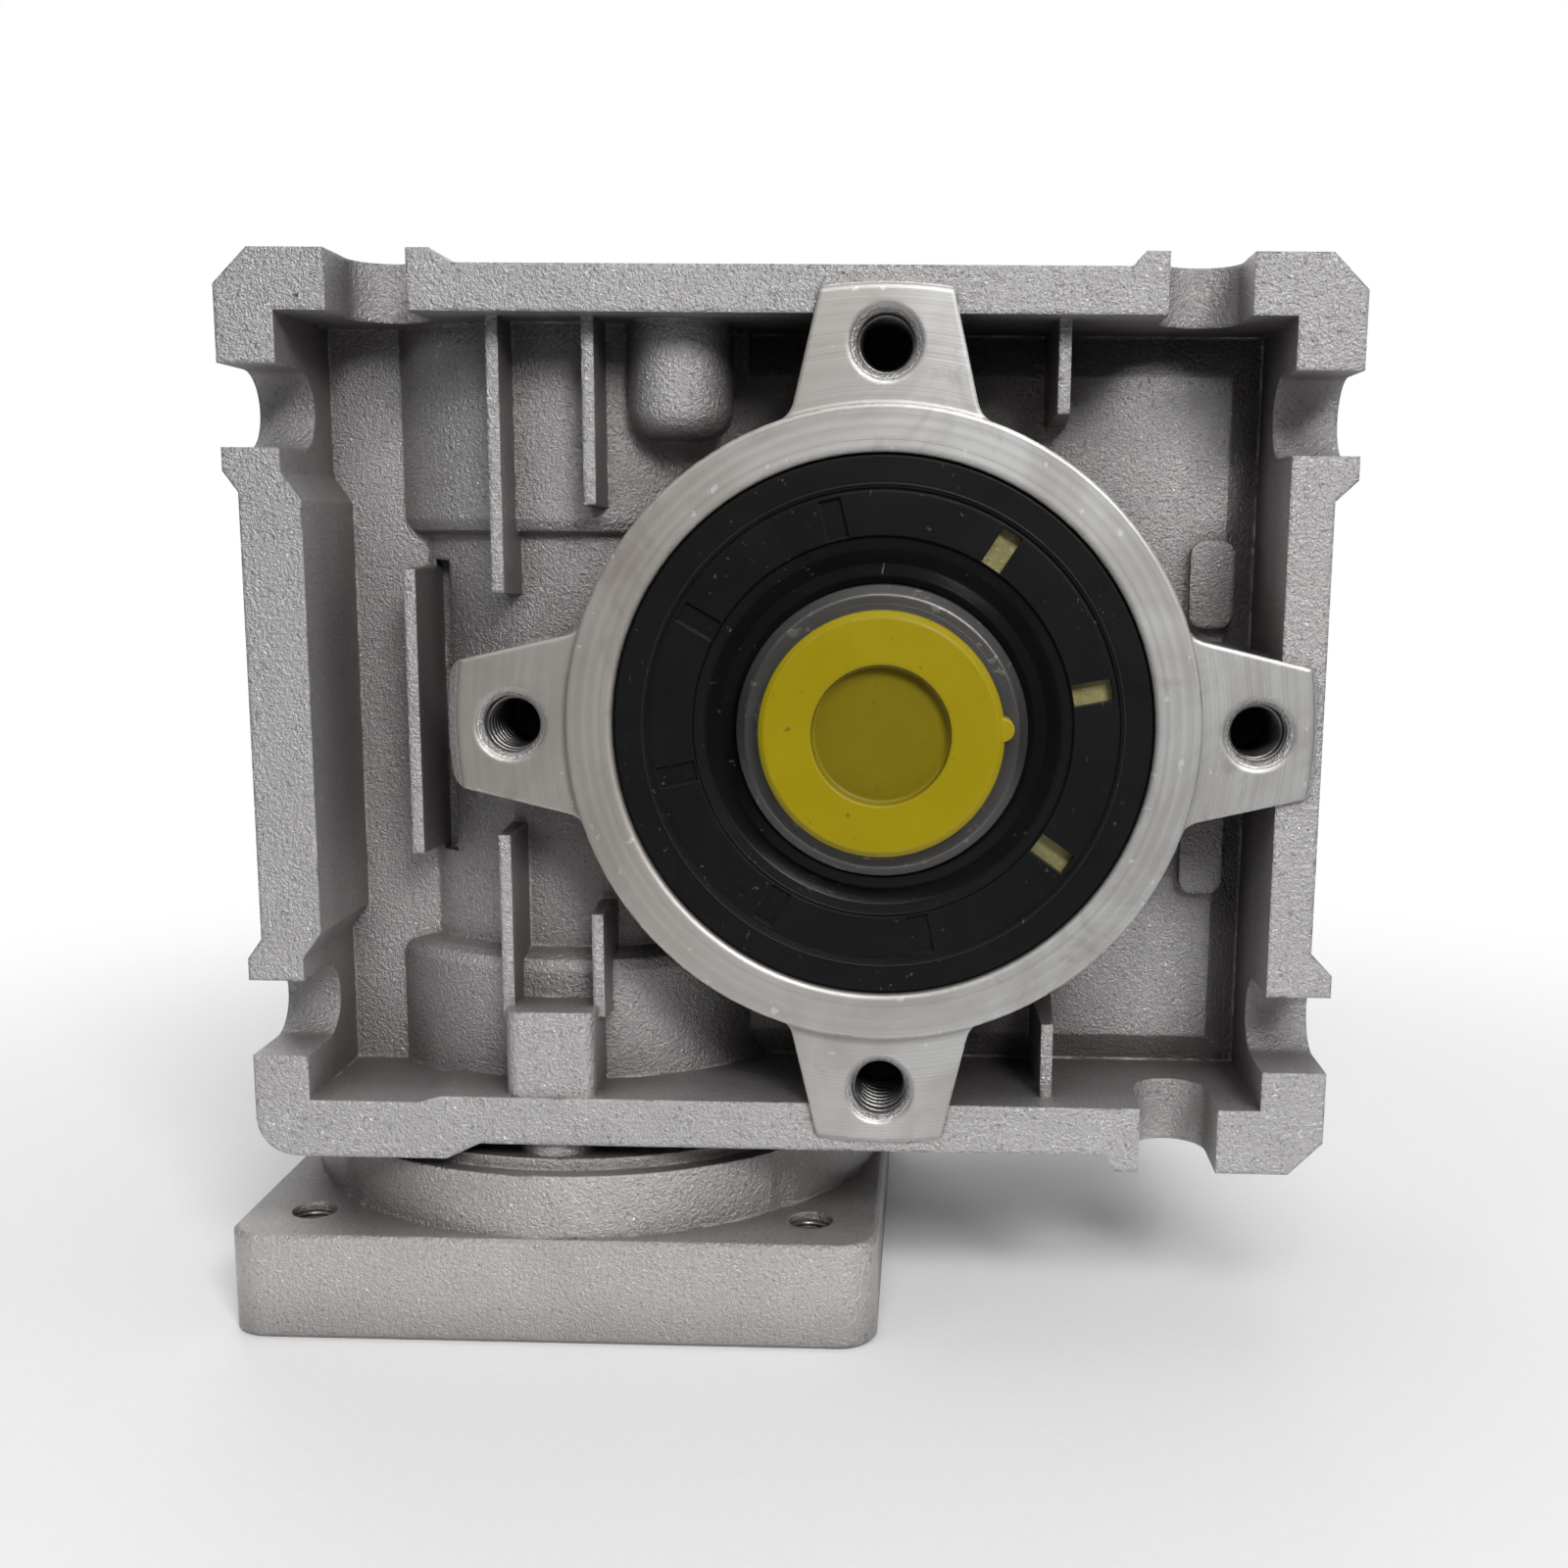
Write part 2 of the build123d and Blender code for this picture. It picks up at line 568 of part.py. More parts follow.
def socket_screw_y(x, z, head_y, end_y):
    """Hexagon socket screw along Y, head outwards."""
    top = head_y + COVER_SCREW_HEAD_H
    body = disc_y(COVER_SCREW_HEAD_R, head_y, top)
    body = chamfer(body.faces().sort_by(Axis.Y)[-1].edges(), 0.35)
    body += disc_y(COVER_SCREW_R, end_y, head_y)
    hexagon = sketch_y(RegularPolygon(1.73, 6), top - 2.2, top + 1)
    return Pos(x, 0, z) * (body - hexagon)


def socket_screw_z(x, y, head_z, end_z):
    """Hexagon socket screw along Z, head downwards."""
    low = head_z - FLANGE_SCREW_HEAD_H
    body = disc_z(FLANGE_SCREW_HEAD_R, low, head_z, x=0)
    body = chamfer(body.faces().sort_by(Axis.Z)[0].edges(), 0.35)
    body += disc_z(FLANGE_SCREW_R, head_z, end_z, x=0)
    hexagon = Pos(0, 0, low - 1) * extrude(RegularPolygon(1.73, 6), amount=3.2)
    return Pos(x, y, 0) * (body - hexagon)


# ================================================================ bearings and seals
def bearing_parts(size, low, high):
    """Deep groove ball bearing along Z between two z values, centred on the Z axis."""
    bore, outer, ball, count = size
    pitch = (bore + outer) / 2
    mid = (low + high) / 2
    width = high - low
    race = Pos(0, 0, mid) * Torus(pitch, ball + BALL_PLAY)
    land = 0.62 * ball
    inner = Pos(0, 0, mid) * (Cylinder(pitch - land, width) - Cylinder(bore, width + 1))
    outer_ring = Pos(0, 0, mid) * (Cylinder(outer, width) - Cylinder(pitch + land, width + 1))
    inner -= race
    outer_ring -= race
    inner = chamfer(inner.edges().filter_by(GeomType.CIRCLE).filter_by(
        lambda e: abs(e.radius - bore) < 0.01), 0.3)
    outer_ring = chamfer(outer_ring.edges().filter_by(GeomType.CIRCLE).filter_by(
        lambda e: abs(e.radius - outer) < 0.01), 0.3)
    balls = []
    wide = 2 * ball + 1.5
    cage = Pos(0, 0, mid) * (Cylinder(pitch + 0.4 * ball, wide) - Cylinder(pitch - 0.4 * ball, wide + 1))
    for k in range(count):
        spin = Rot(0, 0, 360 * k / count)
        balls.append(spin * Pos(pitch, 0, mid) * Sphere(ball))
        cage -= spin * Pos(pitch, 0, mid) * Rot(0, 90, 0) * Cylinder(ball, ball * 2)
    return inner, outer_ring, Compound(children=balls), cage


def save_bearing(name, parts, place):
    """Write the four pieces of one bearing."""
    for label, shape in zip(("inner_ring", "outer_ring", "balls", "cage"), parts):
        save(f"{name}_{label}", place * shape)


def lip_seal(shaft, outer, windows, blind_windows):
    """Radial lip seal along Z: open face at z = 0, inner side at z = SEAL_W."""
    band_out = outer - 3.1
    band_in = shaft + 3.9
    lip = shaft + 0.04
    w = SEAL_W
    rubber = Polyline(
        (outer - 0.3, 0, 0), (band_out + 0.2, 0, 0), (band_out + 0.1, 0, 0.3), (band_out - 0.2, 0, 0.25),
        (band_in + 0.2, 0, 0.25), (band_in, 0, 0.6), (band_in - 0.9, 0, 0.75), (shaft + 1.7, 0, 1.5),
        (shaft + 0.7, 0, 1.3), (lip, 0, 1.7), (shaft + 0.5, 0, 2.3), (shaft + 1.5, 0, 3.0),
        (shaft + 1.3, 0, 4.0), (lip, 0, 4.9), (shaft + 0.9, 0, 6.2), (shaft + 1.5, 0, 6.4),
        (shaft + 2.7, 0, 5.9), (shaft + 2.8, 0, 4.2), (band_in - 0.3, 0, 2.9), (outer - 1.6, 0, 2.9),
        (outer - 1.6, 0, w), (outer - 0.2, 0, w), (outer, 0, w - 0.4), (outer, 0, 0.4), close=True)
    body = revolve(make_face(rubber), Axis.Z)
    case = Polyline(
        (band_in - 0.6, 0, 1.4), (outer - 0.7, 0, 1.4), (outer - 0.7, 0, w), (outer - 1.3, 0, w),
        (outer - 1.3, 0, 2.1), (band_in - 0.6, 0, 2.1), close=True)
    metal = revolve(make_face(case), Axis.Z)
    spring = Pos(0, 0, 5.5) * Torus(shaft + 1.95, 0.62)
    body -= metal
    body -= spring
    for angle in windows:
        slot = box(band_in + 0.25, band_out - 0.3, -0.95, 0.95, -1, 1.4)
        body -= Rot(0, 0, angle) * slot
    for angle in blind_windows:
        slot = box(band_in + 0.25, band_out - 0.3, -0.95, 0.95, -1, SEAL_BLIND_DEPTH)
        body -= Rot(0, 0, angle) * slot
    return body, metal, spring


def save_seal(name, parts, place):
    """Write the three pieces of one seal."""
    for label, shape in zip(("", "_case", "_spring"), parts):
        save(f"{name}{label}", place * shape)


def make_circlip():
    """Internal circlip with two drilled ears."""
    z0 = UPPER_BEARING_Z[1]
    z1 = z0 + CIRCLIP_T
    r = UPPER_BEARING[1] + CIRCLIP_GROOVE
    body = disc_z(r, z0, z1) - disc_z(r - 2.4, z0 - 1, z1 + 1)
    body -= box(WORM_X, WORM_X + 30, -2.6, 2.6, z0 - 1, z1 + 1)
    for side in (-1, 1):
        ear = disc_z(1.9, z0, z1, x=WORM_X + r - 3.2, y=side * 3.6)
        body += ear
        body -= disc_z(0.8, z0 - 1, z1 + 1, x=WORM_X + r - 3.4, y=side * 3.7)
    return body


def make_end_cap():
    """Pressed-in cap that closes the worm bore."""
    r = UPPER_BEARING[1]
    z0, z1 = END_CAP_Z
    return turn_z([
        (0, z1), (r - 0.5, z1), (r, z1 - 0.5), (r, z0 + 0.4), (r - 0.4, z0), (r - 1.5, z0),
        (r - 1.5, z1 - 1.6), (0, z1 - 1.6)])


# ================================================================ gears and shafts
def involute_half(base_r, r_from, r_to, steps):
    """(radius, roll angle) pairs along an involute."""
    out = []
    for k in range(steps + 1):
        r = r_from + (r_to - r_from) * k / steps
        t = math.sqrt(max((r / base_r) ** 2 - 1, 0))
        out.append((r, t - math.atan(t)))
    return out


def make_wheel_rim():
    """Helical wheel rim whose tooth gap faces the worm at the middle plane."""
    pitch_r = MODULE * WHEEL_TEETH / 2
    base_r = pitch_r * math.cos(math.radians(PRESSURE_ANGLE))
    tip_r = pitch_r + MODULE
    root_r = pitch_r - 1.25 * MODULE
    t0 = math.tan(math.radians(PRESSURE_ANGLE))
    inv0 = t0 - math.radians(PRESSURE_ANGLE)
    half_tooth = math.pi / 2 / WHEEL_TEETH - TOOTH_THIN / pitch_r
    flank = involute_half(base_r, max(base_r, root_r + 0.25), tip_r, 7)
    root_half = half_tooth + inv0 + 0.022
    points = [(root_r - 0.4, -root_half), (root_r, -root_half)]
    for r, roll in flank:
        points.append((r, -(half_tooth + inv0 - roll)))
    points += [(r, -a) for r, a in reversed(points)]
    outline = Polyline(*[(r * math.cos(a), r * math.sin(a)) for r, a in points], close=True)
    face = make_face(outline)
    lead_tan = MODULE / (2 * WORM_PITCH_R)
    twist = math.degrees(lead_tan * 2 * WHEEL_HALF_W / pitch_r)
    sections = [Pos(0, 0, side * WHEEL_HALF_W) * Rot(0, 0, side * twist / 2) * face for side in (-1, 1)]
    tooth = loft(sections, ruled=True)
    pitch_angle = 360.0 / WHEEL_TEETH
    teeth = [Rot(0, 0, 180 + pitch_angle * (k + 0.5)) * tooth for k in range(WHEEL_TEETH)]
    rim = Cylinder(root_r, 2 * WHEEL_HALF_W) + teeth
    edge = 0.9
    trim = revolve(make_face(Polyline(
        (0, 0, -WHEEL_HALF_W), (tip_r - edge, 0, -WHEEL_HALF_W), (tip_r + 0.02, 0, -WHEEL_HALF_W + edge),
        (tip_r + 0.02, 0, WHEEL_HALF_W - edge), (tip_r - edge, 0, WHEEL_HALF_W), (0, 0, WHEEL_HALF_W),
        close=True)), Axis.Z)
    rim = rim & trim
    rim -= Cylinder(RIM_SEAT_R, 4 * WHEEL_HALF_W)
    return Rot(-90, 0, 0) * rim


def make_output_shaft():
    """Hollow output shaft with the wheel hub."""
    c = SHAFT_CHAMFER
    half = SHAFT_HALF
    body = turn_y([
        (0, -half), (SHAFT_R - c, -half), (SHAFT_R, -half + c), (SHAFT_R, -HUB_HALF),
        (HUB_R, -HUB_HALF), (HUB_R, -WHEEL_HALF_W), (RIM_SEAT_R, -WHEEL_HALF_W),
        (RIM_SEAT_R, WHEEL_HALF_W), (HUB_R, WHEEL_HALF_W), (HUB_R, HUB_HALF), (SHAFT_R, HUB_HALF),
        (SHAFT_R, half - c), (SHAFT_R - c, half), (0, half)])
    body -= disc_y(SHAFT_BORE_R, -half - 1, half + 1)
    body -= disc_y(BORE_GROOVE_R, -BORE_GROOVE_Y[1], -BORE_GROOVE_Y[0])
    body -= box(-SHAFT_KEY_W / 2, SHAFT_KEY_W / 2, -half - 1, half + 1, 0, SHAFT_KEY_TOP)
    return body


def make_worm_shaft():
    """Hollow worm shaft with a one-start right-hand thread."""
    pitch = math.pi * MODULE
    tip_r = WORM_PITCH_R + MODULE
    root_r = WORM_PITCH_R - 1.25 * MODULE
    tan_a = math.tan(math.radians(PRESSURE_ANGLE))
    tip_half = pitch / 4 - MODULE * tan_a - THREAD_THIN
    deep = 0.35
    root_half = pitch / 4 + (1.25 * MODULE + deep) * tan_a - THREAD_THIN
    turns_low = -WORM_HALF_L - 2 * pitch
    height = 2 * (WORM_HALF_L + 2 * pitch)
    height = math.ceil(height / pitch) * pitch
    start = -math.ceil(-turns_low / pitch) * pitch
    path = Helix(pitch, height, WORM_PITCH_R)
    section = Plane.XZ * make_face(Polyline(
        (root_r - deep, -root_half), (tip_r, -tip_half), (tip_r, tip_half), (root_r - deep, root_half),
        close=True))
    thread = Solid.sweep(section.face(), path=path, is_frenet=True)
    thread = Pos(0, 0, start) * thread
    trim = revolve(make_face(Polyline(
        (0, 0, -WORM_HALF_L - 2.6), (root_r, 0, -WORM_HALF_L - 2.6), (tip_r + 0.01, 0, -WORM_HALF_L + 0.6),
        (tip_r + 0.01, 0, WORM_HALF_L - 0.6), (root_r, 0, WORM_HALF_L + 2.6), (0, 0, WORM_HALF_L + 2.6),
        close=True)), Axis.Z)
    thread = trim & thread
    core = revolve(make_face(Polyline(
        (0, 0, WORM_END_Z), (WORM_SHAFT_R - 0.8, 0, WORM_END_Z), (WORM_SHAFT_R, 0, WORM_END_Z + 0.8),
        (WORM_SHAFT_R, 0, LOWER_BEARING_Z[1]), (WORM_COLLAR_R, 0, LOWER_BEARING_Z[1]),
        (WORM_COLLAR_R, 0, LOWER_BEARING_Z[1] + 2.0), (root_r + 0.6, 0, LOWER_BEARING_Z[1] + 4.6),
        (root_r, 0, LOWER_BEARING_Z[1] + 5.4), (root_r, 0, WORM_HALF_L + 2.7),
        (WORM_NECK_R + 1.5, 0, WORM_HALF_L + 3.6), (WORM_NECK_R + 1.5, 0, UPPER_BEARING_Z[0]),
        (WORM_NECK_R, 0, UPPER_BEARING_Z[0]), (WORM_NECK_R, 0, WORM_TOP_Z - 0.6),
        (WORM_NECK_R - 0.6, 0, WORM_TOP_Z), (0, 0, WORM_TOP_Z), close=True)), Axis.Z)
    body = core + thread
    body -= Pos(0, 0, WORM_END_Z + WORM_BORE_DEPTH / 2) * Cylinder(WORM_BORE_R, WORM_BORE_DEPTH)
    body -= box(-WORM_KEY_W / 2, WORM_KEY_W / 2, -WORM_KEY_TOP, 0, WORM_END_Z - 1,
                WORM_END_Z + WORM_BORE_DEPTH - 4)
    return Pos(WORM_X, 0, 0) * body


# ================================================================ motor flange and plug
def make_motor_flange():
    plate = extrude(RectangleRounded(2 * FLANGE_HALF, 2 * FLANGE_HALF, FLANGE_CORNER_R),
                    amount=FLANGE_TOP_Z - FLANGE_BOTTOM_Z)
    body = Pos(WORM_X, 0, FLANGE_BOTTOM_Z) * plate
    body = chamfer(body.edges().group_by(Axis.Z)[-1] + body.edges().group_by(Axis.Z)[0], 0.4)
    body += disc_z(FLANGE_NECK_R, FLANGE_TOP_Z - 1, FLANGE_NECK_Z)
    body += disc_z(FLANGE_SEAT_R, FLANGE_NECK_Z - 1, CASE_BOTTOM)
    body -= disc_z(FLANGE_BORE_R, FLANGE_BOTTOM_Z - 1, CASE_BOTTOM + 1)
    body -= disc_z(MOTOR_PILOT_R, FLANGE_BOTTOM_Z - 1, FLANGE_BOTTOM_Z + MOTOR_PILOT_DEPTH)
    depth = 2 * RING_CORD_R
    body -= turn_z([
        (FLANGE_RING_R - 1, CASE_BOTTOM - depth), (FLANGE_RING_R + 1, CASE_BOTTOM - depth),
        (FLANGE_RING_R + 1, CASE_BOTTOM + 1), (FLANGE_RING_R - 1, CASE_BOTTOM + 1)])
    for sx in (-1, 1):
        for sy in (-1, 1):
            x = WORM_X + sx * MOTOR_HOLE_OFFSET
            y = sy * MOTOR_HOLE_OFFSET
            body -= disc_z(MOTOR_HOLE_R, FLANGE_BOTTOM_Z - 1, FLANGE_TOP_Z + 1, x=x, y=y)
            body -= disc_z(MOTOR_HOLE_R + 2.2, FLANGE_TOP_Z, CASE_BOTTOM, x=x, y=y)
    for x, y in flange_screw_spots():
        body -= disc_z(FLANGE_SCREW_R, FLANGE_BOTTOM_Z - 1, CASE_BOTTOM + 1, x=x, y=y)
        body -= disc_z(FLANGE_SCREW_HEAD_R + 0.3, FLANGE_BOTTOM_Z - 1, FLANGE_SCREW_SEAT_Z, x=x, y=y)
    return body


def make_shaft_plug():
    """Push-in plastic plug for the open end of the output shaft."""
    seat = -SHAFT_HALF - PLUG_SEAT_GAP
    face = -PLUG_FACE_Y
    body = turn_y([
        (0, face + PLUG_RECESS_DEPTH), (PLUG_RECESS_R, face + PLUG_RECESS_DEPTH),
        (PLUG_RECESS_R + 0.15, face), (PLUG_DISC_R - 0.5, face), (PLUG_DISC_R, face + 0.5),
        (PLUG_DISC_R, seat), (PLUG_STEM_R, seat), (PLUG_STEM_R, -PLUG_STEM_END_Y - 0.8),
        (PLUG_STEM_R - 0.6, -PLUG_STEM_END_Y), (PLUG_STEM_BORE_R, -PLUG_STEM_END_Y),
        (PLUG_STEM_BORE_R, seat + 0.4), (0, seat + 0.4)])
    gate = disc_y(1.0, face + 0.3, seat, x=PLUG_DISC_R - 0.2, z=0.6)
    return body + gate


# ================================================================ write all nodes
os.makedirs("parts", exist_ok=True)

save("housing", make_housing())
save("side_cover", make_side_cover())
save("cover_o_ring", ring_torus_y(RING_R - RING_CORD_R, RING_CORD_R, COVER_RING_Y))
save("cover_screws", *[
    socket_screw_y(x, z, COVER_EAR_Y, COVER_SCREW_END_Y) for x, z in cover_screw_spots()])

save("output_shaft", make_output_shaft())
save("worm_wheel_rim", make_wheel_rim())
save("worm_shaft", make_worm_shaft())

width = 12.0
out_parts = bearing_parts(OUT_BEARING, OUT_BEARING_IN_Y, OUT_BEARING_IN_Y + width)
save_bearing("front_output_bearing", out_parts, Rot(90, 0, 0))
save_bearing("back_output_bearing", out_parts, Rot(-90, 0, 0))
at_worm = Pos(WORM_X, 0, 0)
save_bearing("upper_worm_bearing", bearing_parts(UPPER_BEARING, *UPPER_BEARING_Z), at_worm)
save_bearing("lower_worm_bearing", bearing_parts(LOWER_BEARING, *LOWER_BEARING_Z), at_worm)

out_seal = lip_seal(SHAFT_R, OUT_BEARING[1], [-angle for angle in SEAL_WINDOWS],
                    [-angle for angle in SEAL_BLIND_WINDOWS])
save_seal("front_output_seal", out_seal, Pos(0, -SEAL_FACE_Y, 0) * Rot(-90, 0, 0))
save_seal("back_output_seal", out_seal, Pos(0, SEAL_FACE_Y, 0) * Rot(90, 0, 0))
in_seal = lip_seal(WORM_SHAFT_R, LOWER_BEARING[1], (), ())
save_seal("input_seal", in_seal, Pos(WORM_X, 0, CASE_BOTTOM))

save("upper_circlip", make_circlip())
save("end_cap", make_end_cap())
save("motor_flange", make_motor_flange())
save("flange_o_ring", ring_torus_z(FLANGE_RING_R, RING_CORD_R, CASE_BOTTOM - RING_CORD_R))
save("flange_screws", *[
    socket_screw_z(x, y, FLANGE_SCREW_SEAT_Z, FLANGE_SCREW_END_Z) for x, y in flange_screw_spots()])
save("shaft_plug", make_shaft_plug())
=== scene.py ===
import json
import math

import bmesh
import bpy
from mathutils import Matrix, Vector


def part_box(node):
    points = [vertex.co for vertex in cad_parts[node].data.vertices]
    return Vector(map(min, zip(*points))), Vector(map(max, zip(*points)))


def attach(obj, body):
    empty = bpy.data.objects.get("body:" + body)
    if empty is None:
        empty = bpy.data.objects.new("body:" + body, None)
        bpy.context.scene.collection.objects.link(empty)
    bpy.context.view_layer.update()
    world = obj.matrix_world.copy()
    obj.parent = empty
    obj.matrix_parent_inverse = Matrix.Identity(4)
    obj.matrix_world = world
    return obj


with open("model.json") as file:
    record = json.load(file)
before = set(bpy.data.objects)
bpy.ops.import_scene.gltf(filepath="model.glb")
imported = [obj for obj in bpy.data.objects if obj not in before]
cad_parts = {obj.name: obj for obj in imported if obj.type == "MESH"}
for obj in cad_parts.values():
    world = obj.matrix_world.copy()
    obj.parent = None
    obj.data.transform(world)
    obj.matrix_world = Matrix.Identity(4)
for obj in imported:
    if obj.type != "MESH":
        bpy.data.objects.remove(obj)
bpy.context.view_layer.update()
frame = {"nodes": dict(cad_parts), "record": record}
MM = 0.001

# ---------------------------------------------------------------- sizes read from the frame
SEAL_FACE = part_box("front_output_seal")[0].y
BACK_SEAL_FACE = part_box("back_output_seal")[1].y
FLANGE_LOW, FLANGE_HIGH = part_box("motor_flange")
WORM_X = (FLANGE_LOW.x + FLANGE_HIGH.x) / 2
PLUG_FRONT_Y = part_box("shaft_plug")[0].y
MOUNTS = {mount["name"]: mount for mount in frame["record"]["mounts"]}
LUG_SIDES = ("right", "top", "left", "bottom")
MOTOR_HOLE_R = MOUNTS["motor_bolt_holes"]["dims"]["hole_r_mm"] * MM
MOTOR_HOLE_OFFSET = MOUNTS["motor_bolt_holes"]["dims"]["spacing_x_mm"] * MM / 2
CASE_DEPTH = 28.0 * MM                        # frame faces of the case
POCKET_RIM = 27.5 * MM                        # the pockets' walls end here


# ---------------------------------------------------------------- sizes of the small pieces
THREAD_TURN_STEPS = 28                        # points in one turn of a thread ridge
THREAD_FADE_STEPS = 22                        # points over which a ridge rises from the wall
THREAD_ROOT = 0.00004                         # a ridge reaches this far into the wall
LUG_THREAD_PITCH = 0.001
LUG_THREAD_HEIGHT = 0.00036
LUG_THREAD_START = 0.0005                     # from the mouth of the bore
LUG_THREAD_SHORT = 0.0015                     # a ridge is this much shorter than the bore
MOTOR_THREAD_PITCH = 0.0008
MOTOR_THREAD_HEIGHT = 0.00028
MOTOR_THREAD_START = 0.0008
MOTOR_THREAD_DEPTH = 0.0084
SEAL_MARK_R = (0.02075, 0.02105)              # moulded ring on a seal's face
SEAL_MARK_RISE = 0.00012
SINK = 0.00003                                # a ring's edges lie this far under the face

FLOOR_RADIUS = 2.6
FLOOR_GAP = 0.00005                           # between the floor and the motor flange
FLOOR_FADE = (0.06, 0.21)                     # the floor clears between these distances
FLOOR_FADE_CENTRE = (-0.01, 0.0)


# ---------------------------------------------------------------- camera
def make_camera():
    """Close view from the front, a little above the output axis and looking down."""
    right = Vector((0.99951, 0.02993, 0.00950))
    down = Vector((0.01451, -0.17162, -0.98506))
    ahead = Vector((-0.02785, 0.98471, -0.17197))
    data = bpy.data.cameras.new("camera")
    data.sensor_width = 36.0
    data.lens = 40.57
    data.shift_x = -0.0598
    data.shift_y = 0.042
    data.clip_start = 0.005
    camera = bpy.data.objects.new("camera", data)
    turn = Matrix((right, -down, -ahead)).transposed().to_4x4()
    camera.matrix_world = Matrix.Translation((0.0040056, -0.1813719, 0.0160682)) @ turn
    bpy.context.scene.collection.objects.link(camera)
    bpy.context.scene.camera = camera


# ---------------------------------------------------------------- node helpers
class Look:
    """A procedural material and short ways to add nodes to it."""

    def __init__(self, name):
        self.material = bpy.data.materials.new(name)
        self.material.use_nodes = True
        self.tree = self.material.node_tree
        self.shader = self.tree.nodes["Principled BSDF"]
        self.place = self.add("ShaderNodeTexCoord").outputs["Object"]

    def add(self, kind, **settings):
        node = self.tree.nodes.new(kind)
        for key, value in settings.items():
            setattr(node, key, value)
        return node

    def feed(self, socket, value):
        if isinstance(value, bpy.types.NodeSocket):
            self.tree.links.new(value, socket)
        elif value is not None:
            socket.default_value = value

    def math(self, operation, a, b=None):
        node = self.add("ShaderNodeMath", operation=operation)
        for socket, value in zip(node.inputs, (a, b)):
            self.feed(socket, value)
        return node.outputs[0]

    def mix(self, amount, a, b):
        node = self.add("ShaderNodeMix", data_type="RGBA")
        self.feed(node.inputs[0], amount)
        self.feed(node.inputs[6], a)
        self.feed(node.inputs[7], b)
        return node.outputs[2]

    def lerp(self, amount, a, b):
        node = self.add("ShaderNodeMix", data_type="FLOAT")
        self.feed(node.inputs[0], amount)
        self.feed(node.inputs[2], a)
        self.feed(node.inputs[3], b)
        return node.outputs[0]

    def step(self, value, low, high):
        """0 below low, 1 above high, smooth between."""
        node = self.add("ShaderNodeMapRange", interpolation_type="SMOOTHSTEP")
        for socket, v in zip(node.inputs, (value, low, high, 0.0, 1.0)):
            self.feed(socket, v)
        return node.outputs[0]

    def noise(self, scale, detail=2.0, rough=0.5, where=None, warp=0.0):
        node = self.add("ShaderNodeTexNoise")
        self.feed(node.inputs["Vector"], where or self.place)
        node.inputs["Scale"].default_value = scale
        node.inputs["Detail"].default_value = detail
        node.inputs["Roughness"].default_value = rough
        node.inputs["Distortion"].default_value = warp
        return node.outputs["Fac"]

    def stretch(self, scale, turn=(0, 0, 0)):
        node = self.add("ShaderNodeMapping")
        self.feed(node.inputs["Vector"], self.place)
        node.inputs["Rotation"].default_value = turn
        node.inputs["Scale"].default_value = scale
        return node.outputs[0]

    def parts(self, vector=None):
        node = self.add("ShaderNodeSeparateXYZ")
        self.feed(node.inputs[0], vector or self.place)
        return node.outputs

    def radius(self, axis, centre=(0.0, 0.0)):
        """Distance from a line along Y or Z."""
        x, y, z = self.parts()
        u, v = (x, z) if axis == "Y" else (x, y)
        u = self.math("SUBTRACT", u, centre[0])
        v = self.math("SUBTRACT", v, centre[1])
        return self.math("SQRT", self.math("ADD", self.math("MULTIPLY", u, u), self.math("MULTIPLY", v, v)))

    def rings(self, radius, pitch, detail=2.0):
        """Uneven concentric lines, as left by a lathe tool."""
        join = self.add("ShaderNodeCombineXYZ")
        self.feed(join.inputs[0], self.math("MULTIPLY", radius, 1.0 / pitch))
        return self.noise(1.0, detail, 0.6, where=join.outputs[0])

    def normal_part(self, index):
        geometry = self.add("ShaderNodeNewGeometry")
        object_normal = self.add("ShaderNodeVectorTransform", vector_type="NORMAL",
                                 convert_from="WORLD", convert_to="OBJECT")
        self.feed(object_normal.inputs[0], geometry.outputs["Normal"])
        return self.parts(object_normal.outputs[0])[index]

    def edge(self, radius, low=0.02, high=0.25):
        """Soft normal near edges, and a mask that is 1 on them."""
        bevel = self.add("ShaderNodeBevel", samples=6)
        bevel.inputs["Radius"].default_value = radius
        geometry = self.add("ShaderNodeNewGeometry")
        dot = self.add("ShaderNodeVectorMath", operation="DOT_PRODUCT")
        self.feed(dot.inputs[0], bevel.outputs[0])
        self.feed(dot.inputs[1], geometry.outputs["Normal"])
        mask = self.step(self.math("SUBTRACT", 1.0, dot.outputs["Value"]), low, high)
        return bevel.outputs[0], mask

    def crevice(self, distance, samples=6):
        node = self.add("ShaderNodeAmbientOcclusion", samples=samples)
        node.inputs["Distance"].default_value = distance
        return node.outputs["AO"]

    def bump(self, height, strength, distance, normal=None):
        node = self.add("ShaderNodeBump")
        self.feed(node.inputs["Strength"], strength)
        node.inputs["Distance"].default_value = distance
        self.feed(node.inputs["Height"], height)
        if normal is not None:
            self.feed(node.inputs["Normal"], normal)
        return node.outputs[0]

    def finish(self, color, rough, normal=None, metal=0.0, fixed=None):
        self.feed(self.shader.inputs["Base Color"], color)
        self.feed(self.shader.inputs["Roughness"], rough)
        self.feed(self.shader.inputs["Metallic"], metal)
        if normal is not None:
            self.feed(self.shader.inputs["Normal"], normal)
        for key, value in (fixed or {}).items():
            self.shader.inputs[key].default_value = value
        return self.material


def rgb(r, g, b):
    return (r, g, b, 1.0)


